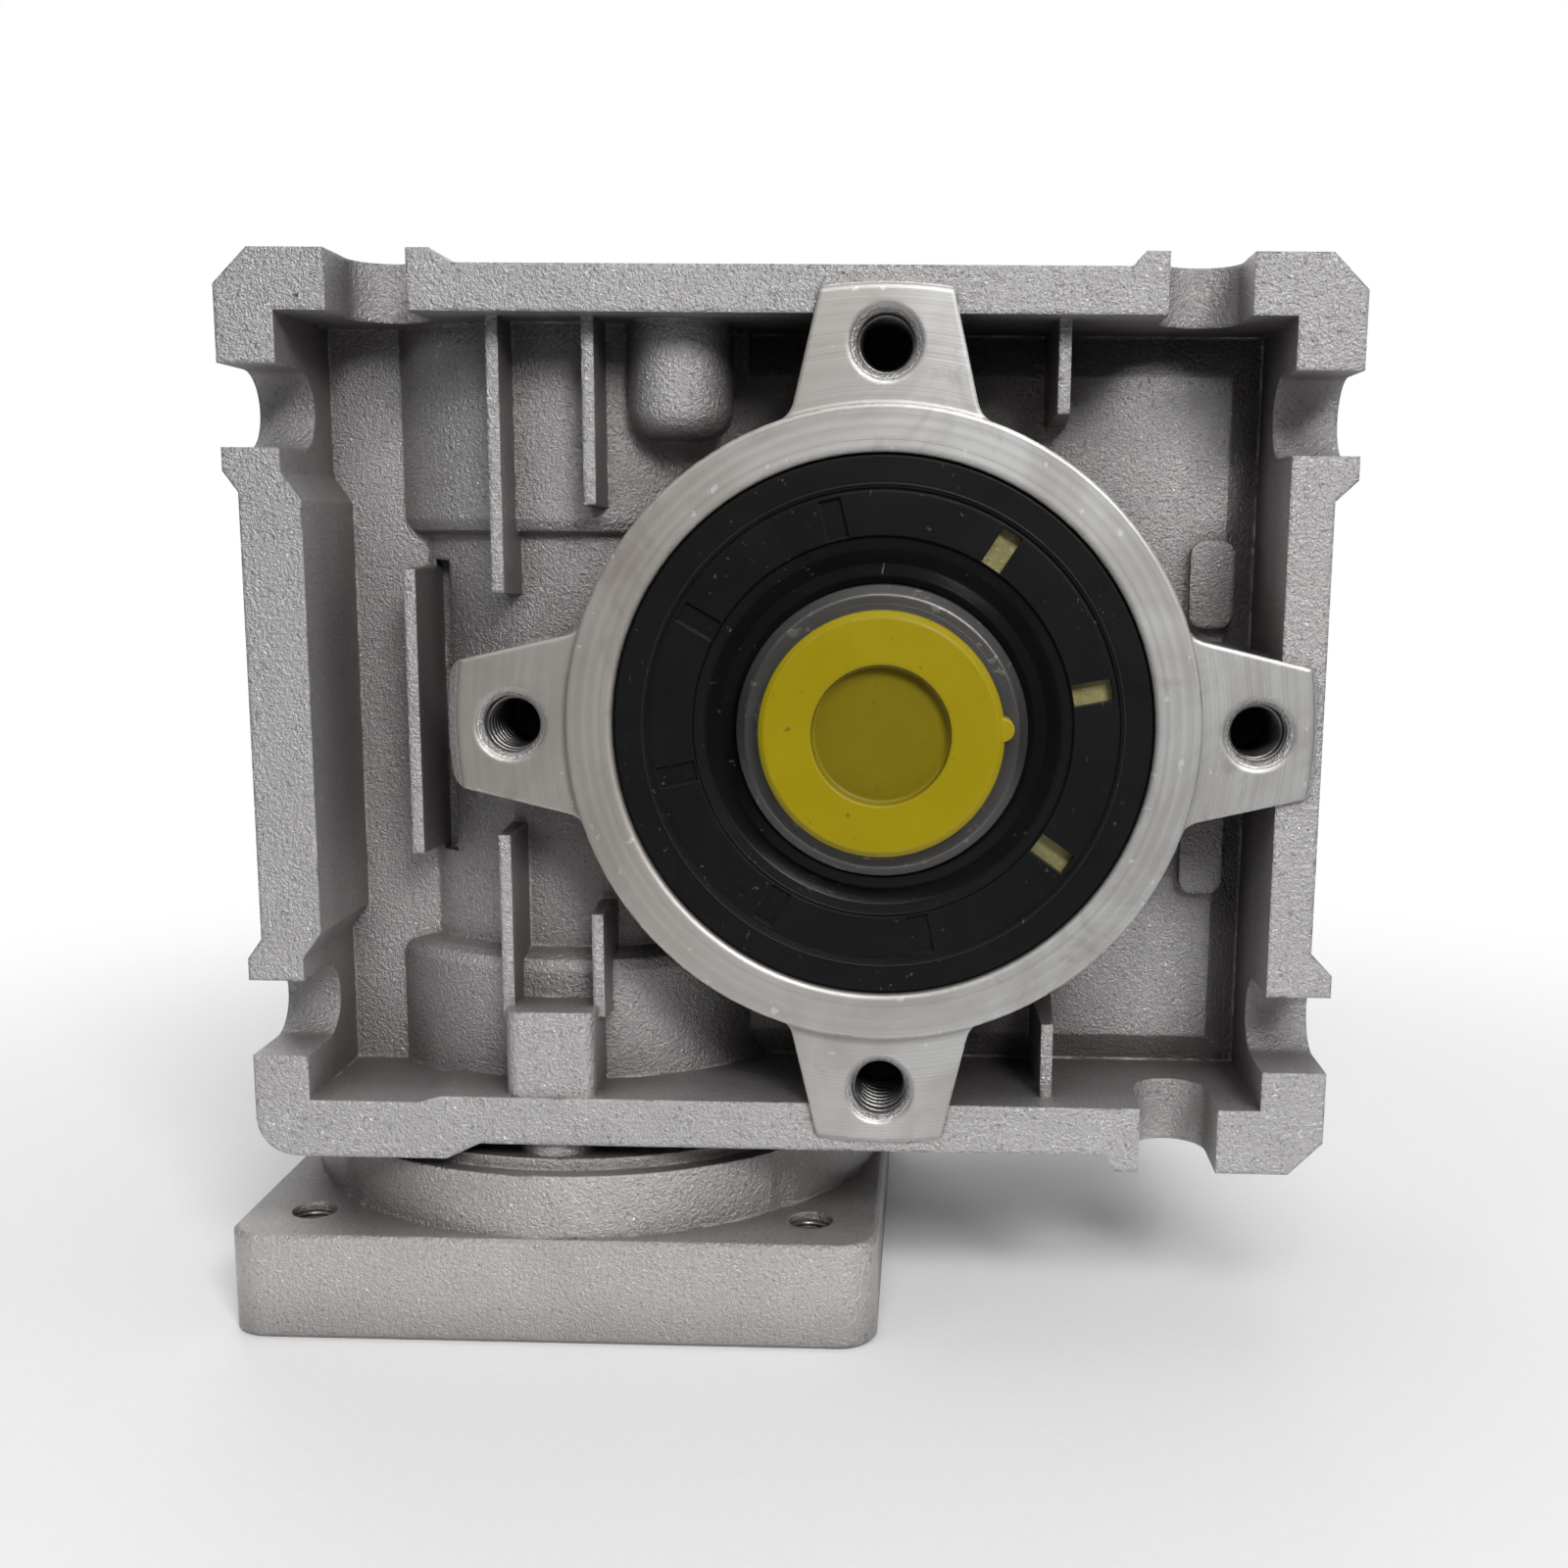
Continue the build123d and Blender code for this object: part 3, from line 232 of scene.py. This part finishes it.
# ---------------------------------------------------------------- metals
def cast_aluminium(name, machined="none", tint=rgb(0.61, 0.60, 0.595)):
    """Sand-blasted casting with sparkling grain, dull edges with nicks, painted shade in the corners and on
    the pocket walls.

    machined says which faces are cut bright: the rings and lugs around the output, or none.
    """
    m = Look(name)
    soft, edge = m.edge(0.00055)
    fine = m.noise(5200, 2, 0.65)
    middle = m.noise(2500, 3, 0.65)
    cloud = m.noise(70, 5, 0.6, warp=0.6)
    patch = m.noise(18, 2, 0.5)
    bright_grain = m.math("MULTIPLY", m.step(m.noise(2700, 2, 0.7), 0.58, 0.70),
                          m.step(m.noise(300, 2, 0.5), 0.35, 0.6))
    dark_grain = m.step(m.noise(2300, 2, 0.6), 0.42, 0.30)
    shade = m.crevice(0.009)
    # colour
    color = m.mix(cloud, rgb(0.46, 0.45, 0.45), tint)
    color = m.mix(m.math("MULTIPLY", bright_grain, 0.62), color, rgb(0.95, 0.94, 0.94))
    color = m.mix(m.math("MULTIPLY", dark_grain, 0.60), color, rgb(0.20, 0.19, 0.185))
    color = m.mix(m.math("MULTIPLY", patch, 0.25), color, rgb(0.54, 0.50, 0.48))
    # painted shade: walls inside the pockets that face sideways are darkened
    painted_wall_shade = m.math("MULTIPLY", m.step(m.math("ABSOLUTE", m.normal_part(1)), 0.45, 0.15),
                   m.step(m.math("ABSOLUTE", m.parts()[1]), POCKET_RIM, POCKET_RIM - 0.006))
    color = m.mix(m.math("MULTIPLY", painted_wall_shade, 0.45), color, rgb(0.16, 0.155, 0.15))
    # painted shade: the casting is darkened where the ambient-occlusion node finds corners and narrow gaps
    painted_corner_shade = m.step(shade, 0.92, 0.30)
    color = m.mix(m.math("MULTIPLY", painted_corner_shade, 0.72), color, rgb(0.13, 0.115, 0.11))
    nick = m.math("MULTIPLY", edge, m.step(m.noise(420, 3, 0.7), 0.56, 0.64))
    color = m.mix(m.math("MULTIPLY", nick, 0.8), color, rgb(0.10, 0.085, 0.075))
    rubbed = m.math("MULTIPLY", edge, m.step(m.noise(260, 2, 0.6), 0.45, 0.62))
    color = m.mix(m.math("MULTIPLY", rubbed, 0.45), color, rgb(0.86, 0.84, 0.81))
    pit = m.step(m.noise(330, 2, 0.5), 0.20, 0.17)
    color = m.mix(m.math("MULTIPLY", pit, 0.7), color, rgb(0.12, 0.10, 0.09))
    rough = m.lerp(bright_grain, m.lerp(cloud, 0.44, 0.54), 0.27)
    # relief
    height = m.math("ADD", m.math("MULTIPLY", fine, 0.45), m.math("MULTIPLY", middle, 0.75))
    height = m.math("SUBTRACT", height, m.math("MULTIPLY", m.math("ADD", nick, pit), 0.9))
    metal = 0.82
    if machined == "none":
        normal = m.bump(height, 1.0, 0.00034, soft)
        return m.finish(color, rough, normal, metal)

    # cut faces: everything proud of the frame faces
    x, y, z = m.parts()
    proud = m.math("ABSOLUTE", y)
    cut = m.step(proud, CASE_DEPTH + 0.00025, CASE_DEPTH + 0.0004)
    r = m.radius("Y")
    face_on = m.step(m.math("ABSOLUTE", m.normal_part(1)), 0.60, 0.80)
    round_side = m.step(r, 0.0279, 0.0277)
    cut = m.math("MULTIPLY", cut, m.math("MAXIMUM", face_on, round_side))
    turned = m.rings(r, 0.00016, 3)
    wide = m.rings(r, 0.0009, 3)
    scratch = m.noise(1.0, 2, 0.6, where=m.stretch((5200, 1, 160), (0, 0.5, 0)))
    scratch_b = m.noise(1.0, 2, 0.6, where=m.stretch((220, 1, 4300), (0, -0.35, 0)))
    gouge = m.math("MULTIPLY", m.step(scratch, 0.70, 0.76), m.step(m.noise(90, 2, 0.5), 0.50, 0.58))
    gouge_b = m.math("MULTIPLY", m.step(scratch_b, 0.70, 0.76), m.step(m.noise(70, 2, 0.5), 0.52, 0.60))
    gouges = m.math("MAXIMUM", gouge, gouge_b)
    haze = m.step(m.noise(60, 4, 0.65, warp=1.2), 0.35, 0.65)
    bright = m.mix(haze, rgb(0.52, 0.505, 0.48), rgb(0.68, 0.675, 0.665))
    bright = m.mix(m.math("MULTIPLY", m.step(turned, 0.40, 0.62), 0.38), bright, rgb(0.40, 0.39, 0.375))
    # warmer tint towards the left of the cut faces, with painted shade darkening that side
    warm_tint_and_left_shade = m.step(x, 0.012, -0.034)
    bright = m.mix(m.math("MULTIPLY", warm_tint_and_left_shade, 0.55), bright, rgb(0.50, 0.44, 0.38))
    bright = m.mix(m.math("MULTIPLY", gouges, 0.50), bright, rgb(0.30, 0.285, 0.27))
    stain = m.step(m.noise(120, 4, 0.7, warp=0.6), 0.56, 0.70)
    bright = m.mix(m.math("MULTIPLY", stain, 0.45), bright, rgb(0.36, 0.32, 0.29))
    fleck = m.step(m.noise(800, 2, 0.6), 0.69, 0.74)
    bright = m.mix(m.math("MULTIPLY", fleck, 0.55), bright, rgb(0.90, 0.89, 0.88))
    bright = m.mix(m.math("MULTIPLY", nick, 0.7), bright, rgb(0.16, 0.14, 0.12))
    # painted shade: cut faces are darkened in corners found by the ambient-occlusion node
    bright = m.mix(m.math("MULTIPLY", m.step(shade, 0.8, 0.3), 0.45), bright, rgb(0.25, 0.23, 0.21))
    color = m.mix(cut, color, bright)
    rough = m.lerp(cut, rough, m.lerp(wide, 0.36, 0.54))
    cut_height = m.math("ADD", m.math("MULTIPLY", turned, 0.10), m.math("MULTIPLY", wide, 0.22))
    cut_height = m.math("SUBTRACT", cut_height, m.math("MULTIPLY", gouges, 0.30))
    height = m.lerp(cut, height, cut_height)
    normal = m.bump(height, m.lerp(cut, 1.0, 0.18), 0.00034, soft)
    return m.finish(color, rough, normal, m.lerp(cut, metal, 0.80))


def turned_steel(name, base, rough=(0.22, 0.34), axis="Y", centre=(0.0, 0.0), dirt=0.35):
    """Ground or turned steel with tool lines, stains, bright rubbed edges, and painted shade in the crevices.
    """
    m = Look(name)
    soft, edge = m.edge(0.00028)
    r = m.radius(axis, centre)
    lines = m.rings(r, 0.00009, 3)
    smear = m.noise(150, 4, 0.6, warp=1.0)
    speck = m.step(m.noise(900, 2, 0.6), 0.62, 0.72)
    dark = tuple(c * 0.45 for c in base[:3]) + (1.0,)
    light = tuple(min(1.0, c * 1.9 + 0.10) for c in base[:3]) + (1.0,)
    color = m.mix(m.math("MULTIPLY", lines, 0.5), base, dark)
    color = m.mix(m.math("MULTIPLY", smear, dirt), color, dark)
    color = m.mix(m.math("MULTIPLY", speck, 0.35), color, light)
    color = m.mix(m.math("MULTIPLY", edge, 0.5), color, light)
    # painted shade: steel is darkened in crevices found by the ambient-occlusion node
    color = m.mix(m.math("MULTIPLY", m.step(m.crevice(0.004), 0.9, 0.3), 0.5), color, rgb(0.03, 0.028, 0.025))
    normal = m.bump(m.math("ADD", lines, m.math("MULTIPLY", speck, 0.5)), 0.35, 0.00006, soft)
    return m.finish(color, m.lerp(smear, rough[0], rough[1]), normal, 0.95)


def bronze():
    m = Look("bronze")
    soft, edge = m.edge(0.0003)
    r = m.radius("Y")
    lines = m.rings(r, 0.00012, 3)
    smear = m.noise(120, 4, 0.6, warp=1.0)
    color = m.mix(smear, rgb(0.62, 0.40, 0.17), rgb(0.74, 0.52, 0.27))
    color = m.mix(m.math("MULTIPLY", lines, 0.4), color, rgb(0.42, 0.26, 0.11))
    color = m.mix(m.math("MULTIPLY", edge, 0.5), color, rgb(0.90, 0.70, 0.42))
    normal = m.bump(lines, 0.3, 0.00006, soft)
    return m.finish(color, m.lerp(smear, 0.24, 0.38), normal, 0.95)


def black_screw():
    """Blackened steel with knurl-scale pits and edges rubbed grey."""
    m = Look("black_screw_steel")
    soft, edge = m.edge(0.00025)
    grain = m.noise(1800, 3, 0.6)
    smear = m.noise(260, 3, 0.6)
    color = m.mix(smear, rgb(0.030, 0.031, 0.034), rgb(0.085, 0.083, 0.082))
    color = m.mix(m.math("MULTIPLY", edge, 0.55), color, rgb(0.32, 0.31, 0.30))
    normal = m.bump(grain, 0.35, 0.00008, soft)
    return m.finish(color, m.lerp(smear, 0.34, 0.5), normal, 0.85)


def seal_metal():
    """Yellowish plated steel of the seal's core, dull and dusty."""
    m = Look("seal_core_metal")
    soft, edge = m.edge(0.0002)
    grain = m.noise(1500, 3, 0.6)
    smear = m.noise(500, 3, 0.6, warp=0.5)
    color = m.mix(smear, rgb(0.25, 0.22, 0.085), rgb(0.46, 0.42, 0.20))
    color = m.mix(m.math("MULTIPLY", m.step(grain, 0.55, 0.75), 0.5), color, rgb(0.66, 0.62, 0.38))
    normal = m.bump(grain, 0.4, 0.0001, soft)
    return m.finish(color, m.lerp(smear, 0.35, 0.55), normal, 0.7)


# ---------------------------------------------------------------- rubber and plastic
def rubber(name, base=rgb(0.0035, 0.0037, 0.0042), axis="Y", centre=(0.0, 0.0), gloss_inside=0.0, rough=0.42):
    """Moulded black rubber: faint turned lines, dust specks, and a glossier lip near the shaft."""
    m = Look(name)
    soft, edge = m.edge(0.00022)
    r = m.radius(axis, centre)
    lines = m.rings(r, 0.00016, 3)
    cloud = m.noise(130, 4, 0.6, warp=0.8)
    fine = m.noise(2400, 2, 0.6)
    dust = m.math("MULTIPLY", m.step(m.noise(1500, 2, 0.7), 0.66, 0.74),
                  m.step(m.noise(160, 3, 0.6), 0.48, 0.62))
    lint = m.noise(1.0, 2, 0.5, where=m.stretch((1500, 1500, 260), (0, 0.9, 0)))
    lint = m.step(lint, 0.74, 0.79)
    grey = tuple(min(1.0, c + 0.010) for c in base[:3]) + (1.0,)
    color = m.mix(m.math("MULTIPLY", cloud, 0.55), base, grey)
    color = m.mix(m.math("MULTIPLY", dust, 0.45), color, rgb(0.19, 0.185, 0.17))
    color = m.mix(m.math("MULTIPLY", lint, 0.35), color, rgb(0.24, 0.235, 0.22))
    color = m.mix(m.math("MULTIPLY", edge, 0.25), color, rgb(0.040, 0.041, 0.044))
    surface = m.lerp(cloud, rough - 0.06, rough + 0.10)
    if gloss_inside:
        inside = m.step(r, gloss_inside + 0.0006, gloss_inside)
        surface = m.lerp(inside, surface, 0.16)
    height = m.math("ADD", m.math("MULTIPLY", lines, 0.5), m.math("MULTIPLY", fine, 0.25))
    height = m.math("ADD", height, m.math("MULTIPLY", m.math("MAXIMUM", dust, lint), 0.6))
    normal = m.bump(height, 0.28, 0.00010, soft)
    return m.finish(color, surface, normal, 0.0, {"Specular IOR Level": 0.15})


def yellow_plastic():
    """Moulded polythene: slightly waxy, deeper in the recess, with specks and flow marks."""
    m = Look("yellow_plastic")
    soft, edge = m.edge(0.0004)
    r = m.radius("Y")
    x, y, z = m.parts()
    sunk = m.step(y, PLUG_FRONT_Y + 0.0003, PLUG_FRONT_Y + 0.0011)
    recess = m.math("MULTIPLY", m.step(r, 0.00592, 0.00572), sunk)
    cloud = m.noise(110, 4, 0.6, warp=1.2)
    flow = m.noise(1.0, 3, 0.6, where=m.stretch((260, 260, 70), (0, 0.5, 0)))
    color = m.mix(cloud, rgb(0.29, 0.225, 0.0), rgb(0.36, 0.285, 0.001))
    color = m.mix(m.math("MULTIPLY", flow, 0.28), color, rgb(0.26, 0.195, 0.0))
    low = m.mix(m.noise(240, 3, 0.6), rgb(0.165, 0.125, 0.001), rgb(0.215, 0.168, 0.002))
    color = m.mix(recess, color, low)
    rim = m.math("MULTIPLY", m.step(r, 0.0054, 0.0058), m.step(r, 0.0062, 0.0059))
    color = m.mix(m.math("MULTIPLY", rim, 0.35), color, rgb(0.24, 0.185, 0.005))
    outer = m.step(r, 0.0094, 0.0104)
    color = m.mix(m.math("MULTIPLY", outer, 0.35), color, rgb(0.38, 0.30, 0.005))
    speck = m.step(m.noise(1300, 1, 0.5), 0.74, 0.79)
    color = m.mix(m.math("MULTIPLY", speck, 0.7), color, rgb(0.10, 0.085, 0.02))
    color = m.mix(m.math("MULTIPLY", edge, 0.18), color, rgb(0.75, 0.66, 0.12))
    fine = m.noise(1600, 2, 0.5)
    height = m.math("ADD", m.math("MULTIPLY", fine, 0.25), m.math("MULTIPLY", cloud, 0.8))
    normal = m.bump(height, 0.22, 0.00016, soft)
    return m.finish(color, m.lerp(cloud, 0.33, 0.45), normal, 0.0,
                    {"Subsurface Weight": 0.10, "Subsurface Scale": 0.0012, "Specular IOR Level": 0.28})


# ---------------------------------------------------------------- small detail pieces
def new_piece(name, bm, material, body, smooth=True):
    mesh = bpy.data.meshes.new(name)
    bmesh.ops.recalc_face_normals(bm, faces=bm.faces)
    bm.to_mesh(mesh)
    bm.free()
    for polygon in mesh.polygons:
        polygon.use_smooth = smooth
    piece = bpy.data.objects.new(name, mesh)
    piece.data.materials.append(material)
    bpy.context.scene.collection.objects.link(piece)
    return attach(piece, body)


def sweep(bm, rows, closed=False):
    """Skin a closed section (a list of points per row) along its rows, capped at both ends."""
    made = [[bm.verts.new(p) for p in row] for row in rows]
    count = len(made[0])
    pairs = list(zip(made, made[1:]))
    if closed:
        pairs.append((made[-1], made[0]))
    for a, b in pairs:
        for i in range(count):
            j = (i + 1) % count
            bm.faces.new((a[i], a[j], b[j], b[i]))
    if not closed:
        bm.faces.new(made[0])
        bm.faces.new(list(reversed(made[-1])))


def thread_ridge(bm, origin, axis, radius, depth, pitch, height, start):
    """Helical ridge standing in from the wall of a hole, right-handed, fading in at the mouth."""
    axis = Vector(axis)
    side = axis.orthogonal().normalized()
    other = axis.cross(side)
    steps = int(depth / pitch * THREAD_TURN_STEPS)
    rows = []
    for k in range(steps + 1):
        turn = 2 * math.pi * k / THREAD_TURN_STEPS
        along = start + pitch * k / THREAD_TURN_STEPS
        out = side * math.cos(turn) + other * math.sin(turn)
        rise = height * min(1.0, (k + 2) / THREAD_FADE_STEPS)
        wall = radius + THREAD_ROOT
        top = radius - rise
        half = pitch * 0.46
        crest = pitch * 0.07
        rows.append([
            origin + axis * (along - half) + out * wall,
            origin + axis * (along - crest) + out * top,
            origin + axis * (along + crest) + out * top,
            origin + axis * (along + half) + out * wall])
    sweep(bm, rows)


def face_ring(bm, centre, normal, r_in, r_out, rise, count=160):
    """Low rounded ring standing on a flat face."""
    normal = Vector(normal)
    side = normal.orthogonal().normalized()
    other = normal.cross(side)
    rows = []
    width = r_out - r_in
    for k in range(count):
        turn = 2 * math.pi * k / count
        out = side * math.cos(turn) + other * math.sin(turn)
        rows.append([
            centre + out * r_in - normal * SINK,
            centre + out * (r_in + 0.25 * width) + normal * rise,
            centre + out * (r_out - 0.25 * width) + normal * rise,
            centre + out * r_out - normal * SINK])
    sweep(bm, rows, closed=True)


def add_threads(material):
    """Screw threads in the lug holes on both sides and in the motor flange."""
    for label in ("front", "back"):
        for number, side in enumerate(LUG_SIDES, 1):
            mount = MOUNTS[f"{label}_lug_hole_{side}"]
            wall = mount["dims"]["length_mm"] * MM
            out = Vector(mount["axis"])
            mouth = Vector(mount["pos_m"]) + out * wall / 2
            bm = bmesh.new()
            thread_ridge(bm, mouth, -out, mount["dims"]["r_mm"] * MM, wall - LUG_THREAD_SHORT,
                         LUG_THREAD_PITCH, LUG_THREAD_HEIGHT, LUG_THREAD_START)
            piece = new_piece(f"{label}_lug_thread_{number}", bm, material, "case")
    number = 0
    for sx in (-1, 1):
        for sy in (-1, 1):
            number += 1
            bm = bmesh.new()
            mouth = Vector((WORM_X + sx * MOTOR_HOLE_OFFSET, sy * MOTOR_HOLE_OFFSET, FLANGE_LOW.z))
            thread_ridge(bm, mouth, (0, 0, 1), MOTOR_HOLE_R, MOTOR_THREAD_DEPTH,
                         MOTOR_THREAD_PITCH, MOTOR_THREAD_HEIGHT, MOTOR_THREAD_START)
            piece = new_piece(f"motor_flange_thread_{number}", bm, material, "case")


def add_seal_marks(material):
    """Low rings moulded on the faces of the output seals."""
    for label, face, sign in (("front", SEAL_FACE, -1), ("back", BACK_SEAL_FACE, 1)):
        bm = bmesh.new()
        centre = Vector((0, face, 0))
        face_ring(bm, centre, (0, sign, 0), *SEAL_MARK_R, SEAL_MARK_RISE)
        piece = new_piece(f"{label}_seal_marks", bm, material, "case", smooth=False)


# ---------------------------------------------------------------- lights, floor
def area_light(name, place, aim, size, power):
    data = bpy.data.lights.new(name, "AREA")
    data.shape = "RECTANGLE"
    data.size, data.size_y = size
    data.energy = power
    light = bpy.data.objects.new(name, data)
    light.location = place
    light.rotation_euler = (Vector(aim) - Vector(place)).to_track_quat("-Z", "Y").to_euler()
    bpy.context.scene.collection.objects.link(light)


def make_studio():
    floor_z = FLANGE_LOW.z
    bm = bmesh.new()
    bmesh.ops.create_circle(bm, cap_ends=True, segments=96, radius=FLOOR_RADIUS)
    mesh = bpy.data.meshes.new("floor")
    bm.to_mesh(mesh)
    bm.free()
    floor = bpy.data.objects.new("floor", mesh)
    floor.location = (0, 0, floor_z - FLOOR_GAP)
    bpy.context.scene.collection.objects.link(floor)
    m = Look("floor_paper")
    fibre = m.noise(900, 3, 0.6)
    color = m.mix(fibre, rgb(0.90, 0.90, 0.90), rgb(0.94, 0.94, 0.94))
    m.finish(color, 0.85, m.bump(fibre, 0.05, 0.0002))
    far = m.step(m.radius("Z", FLOOR_FADE_CENTRE), *FLOOR_FADE)
    clear = m.add("ShaderNodeBsdfTransparent")
    blend = m.add("ShaderNodeMixShader")
    m.feed(blend.inputs[0], far)
    m.feed(blend.inputs[1], m.shader.outputs[0])
    m.feed(blend.inputs[2], clear.outputs[0])
    m.feed(m.tree.nodes["Material Output"].inputs[0], blend.outputs[0])
    floor.data.materials.append(m.material)

    world = bpy.data.worlds.new("studio")
    world.use_nodes = True
    bpy.context.scene.world = world
    tree = world.node_tree
    background = tree.nodes["Background"]
    background.inputs["Color"].default_value = rgb(1, 1, 1)
    background.inputs["Strength"].default_value = 1.0
    # the room: darker in front, where the photographer stands, lighter above and behind
    dim = tree.nodes.new("ShaderNodeBackground")
    dim.inputs["Color"].default_value = rgb(0.97, 0.98, 1.0)
    way = tree.nodes.new("ShaderNodeTexCoord")
    split = tree.nodes.new("ShaderNodeSeparateXYZ")
    tree.links.new(way.outputs["Generated"], split.inputs[0])
    glow = None
    for index, low, high, amount in ((2, -0.2, 1.0, 0.26), (1, -0.3, 0.8, 0.16)):
        ramp = tree.nodes.new("ShaderNodeMapRange")
        ramp.interpolation_type = "SMOOTHSTEP"
        for socket, value in zip(list(ramp.inputs)[1:5], (low, high, 0.03, amount)):
            socket.default_value = value
        tree.links.new(split.outputs[index], ramp.inputs[0])
        if glow is None:
            glow = ramp.outputs[0]
        else:
            total = tree.nodes.new("ShaderNodeMath")
            tree.links.new(glow, total.inputs[0])
            tree.links.new(ramp.outputs[0], total.inputs[1])
            glow = total.outputs[0]
    tree.links.new(glow, dim.inputs["Strength"])
    path = tree.nodes.new("ShaderNodeLightPath")
    blend = tree.nodes.new("ShaderNodeMixShader")
    tree.links.new(path.outputs["Is Camera Ray"], blend.inputs[0])
    tree.links.new(dim.outputs[0], blend.inputs[1])
    tree.links.new(background.outputs[0], blend.inputs[2])
    tree.links.new(blend.outputs[0], tree.nodes["World Output"].inputs[0])

    area_light("key", (0.25, -0.61, 0.39), (0.01, 0, 0), (0.20, 0.20), 3.5)
    area_light("overhead", (0.02, -0.60, 0.50), (0.01, 0, 0), (0.30, 0.16), 1.5)
    area_light("left", (-0.46, -0.46, 0.44), (0, 0, 0), (0.24, 0.24), 0.25)
    area_light("right", (0.50, -0.10, 0.20), (0, 0, 0), (0.25, 0.40), 0.04)
    area_light("top", (0.0, 0.14, 0.60), (0, 0, 0), (0.5, 0.5), 0.5)
    area_light("behind", (-0.15, 0.60, 0.30), (0, 0, 0), (0.6, 0.5), 1.2)
    bpy.context.scene.view_settings.view_transform = "Standard"


# ---------------------------------------------------------------- put it together
def dress(nodes, material):
    for name in nodes:
        node = frame["nodes"][name]
        node.data.materials.clear()
        node.data.materials.append(material)


def dress_all():
    worm_line = (WORM_X, 0.0)
    dress(["housing"], cast_aluminium("case_aluminium", "rings"))
    dress(["side_cover"], cast_aluminium("cover_aluminium", "rings"))
    dress(["motor_flange"], cast_aluminium("flange_aluminium", tint=rgb(0.63, 0.615, 0.59)))
    dress(["output_shaft"], turned_steel("output_steel", rgb(0.20, 0.195, 0.19), (0.30, 0.48)))
    dress(["worm_shaft"], turned_steel("worm_steel", rgb(0.34, 0.34, 0.345), axis="Z", centre=worm_line))
    dress(["worm_wheel_rim"], bronze())
    for side in ("front", "back"):
        rings = [f"{side}_output_bearing_{part}" for part in ("inner_ring", "outer_ring", "balls")]
        dress(rings, turned_steel(f"{side}_bearing_steel", rgb(0.55, 0.55, 0.56), dirt=0.2))
        dress([f"{side}_output_bearing_cage"],
              turned_steel(f"{side}_cage_steel", rgb(0.42, 0.40, 0.37), (0.3, 0.45)))
        dress([f"{side}_output_seal"], rubber(f"{side}_seal_rubber", gloss_inside=0.0152))
        dress([f"{side}_output_seal_case"], seal_metal())
        dress([f"{side}_output_seal_spring"], turned_steel(f"{side}_spring_steel", rgb(0.25, 0.25, 0.25)))
    for level in ("upper", "lower"):
        rings = [f"{level}_worm_bearing_{part}" for part in ("inner_ring", "outer_ring", "balls")]
        dress(rings, turned_steel(f"{level}_bearing_steel", rgb(0.55, 0.55, 0.56),
                                  axis="Z", centre=worm_line, dirt=0.2))
        dress([f"{level}_worm_bearing_cage"],
              turned_steel(f"{level}_cage_steel", rgb(0.42, 0.40, 0.37), (0.3, 0.45), "Z", worm_line))
    dress(["input_seal"], rubber("input_seal_rubber", axis="Z", centre=worm_line))
    dress(["input_seal_case"], seal_metal())
    dress(["input_seal_spring", "upper_circlip"],
          turned_steel("spring_steel", rgb(0.13, 0.13, 0.135), (0.35, 0.5), "Z", worm_line))
    dress(["end_cap"], rubber("cap_rubber", rgb(0.013, 0.013, 0.013), "Z", worm_line, rough=0.5))
    dress(["cover_o_ring", "flange_o_ring"], rubber("o_ring_rubber", rough=0.35))
    dress(["cover_screws", "flange_screws"], black_screw())
    dress(["shaft_plug"], yellow_plastic())


make_camera()
make_studio()
dress_all()
add_threads(turned_steel("thread_aluminium", rgb(0.42, 0.41, 0.40), (0.25, 0.4), dirt=0.5))
add_seal_marks(rubber("seal_mark_rubber", rgb(0.014, 0.014, 0.015), rough=0.38))
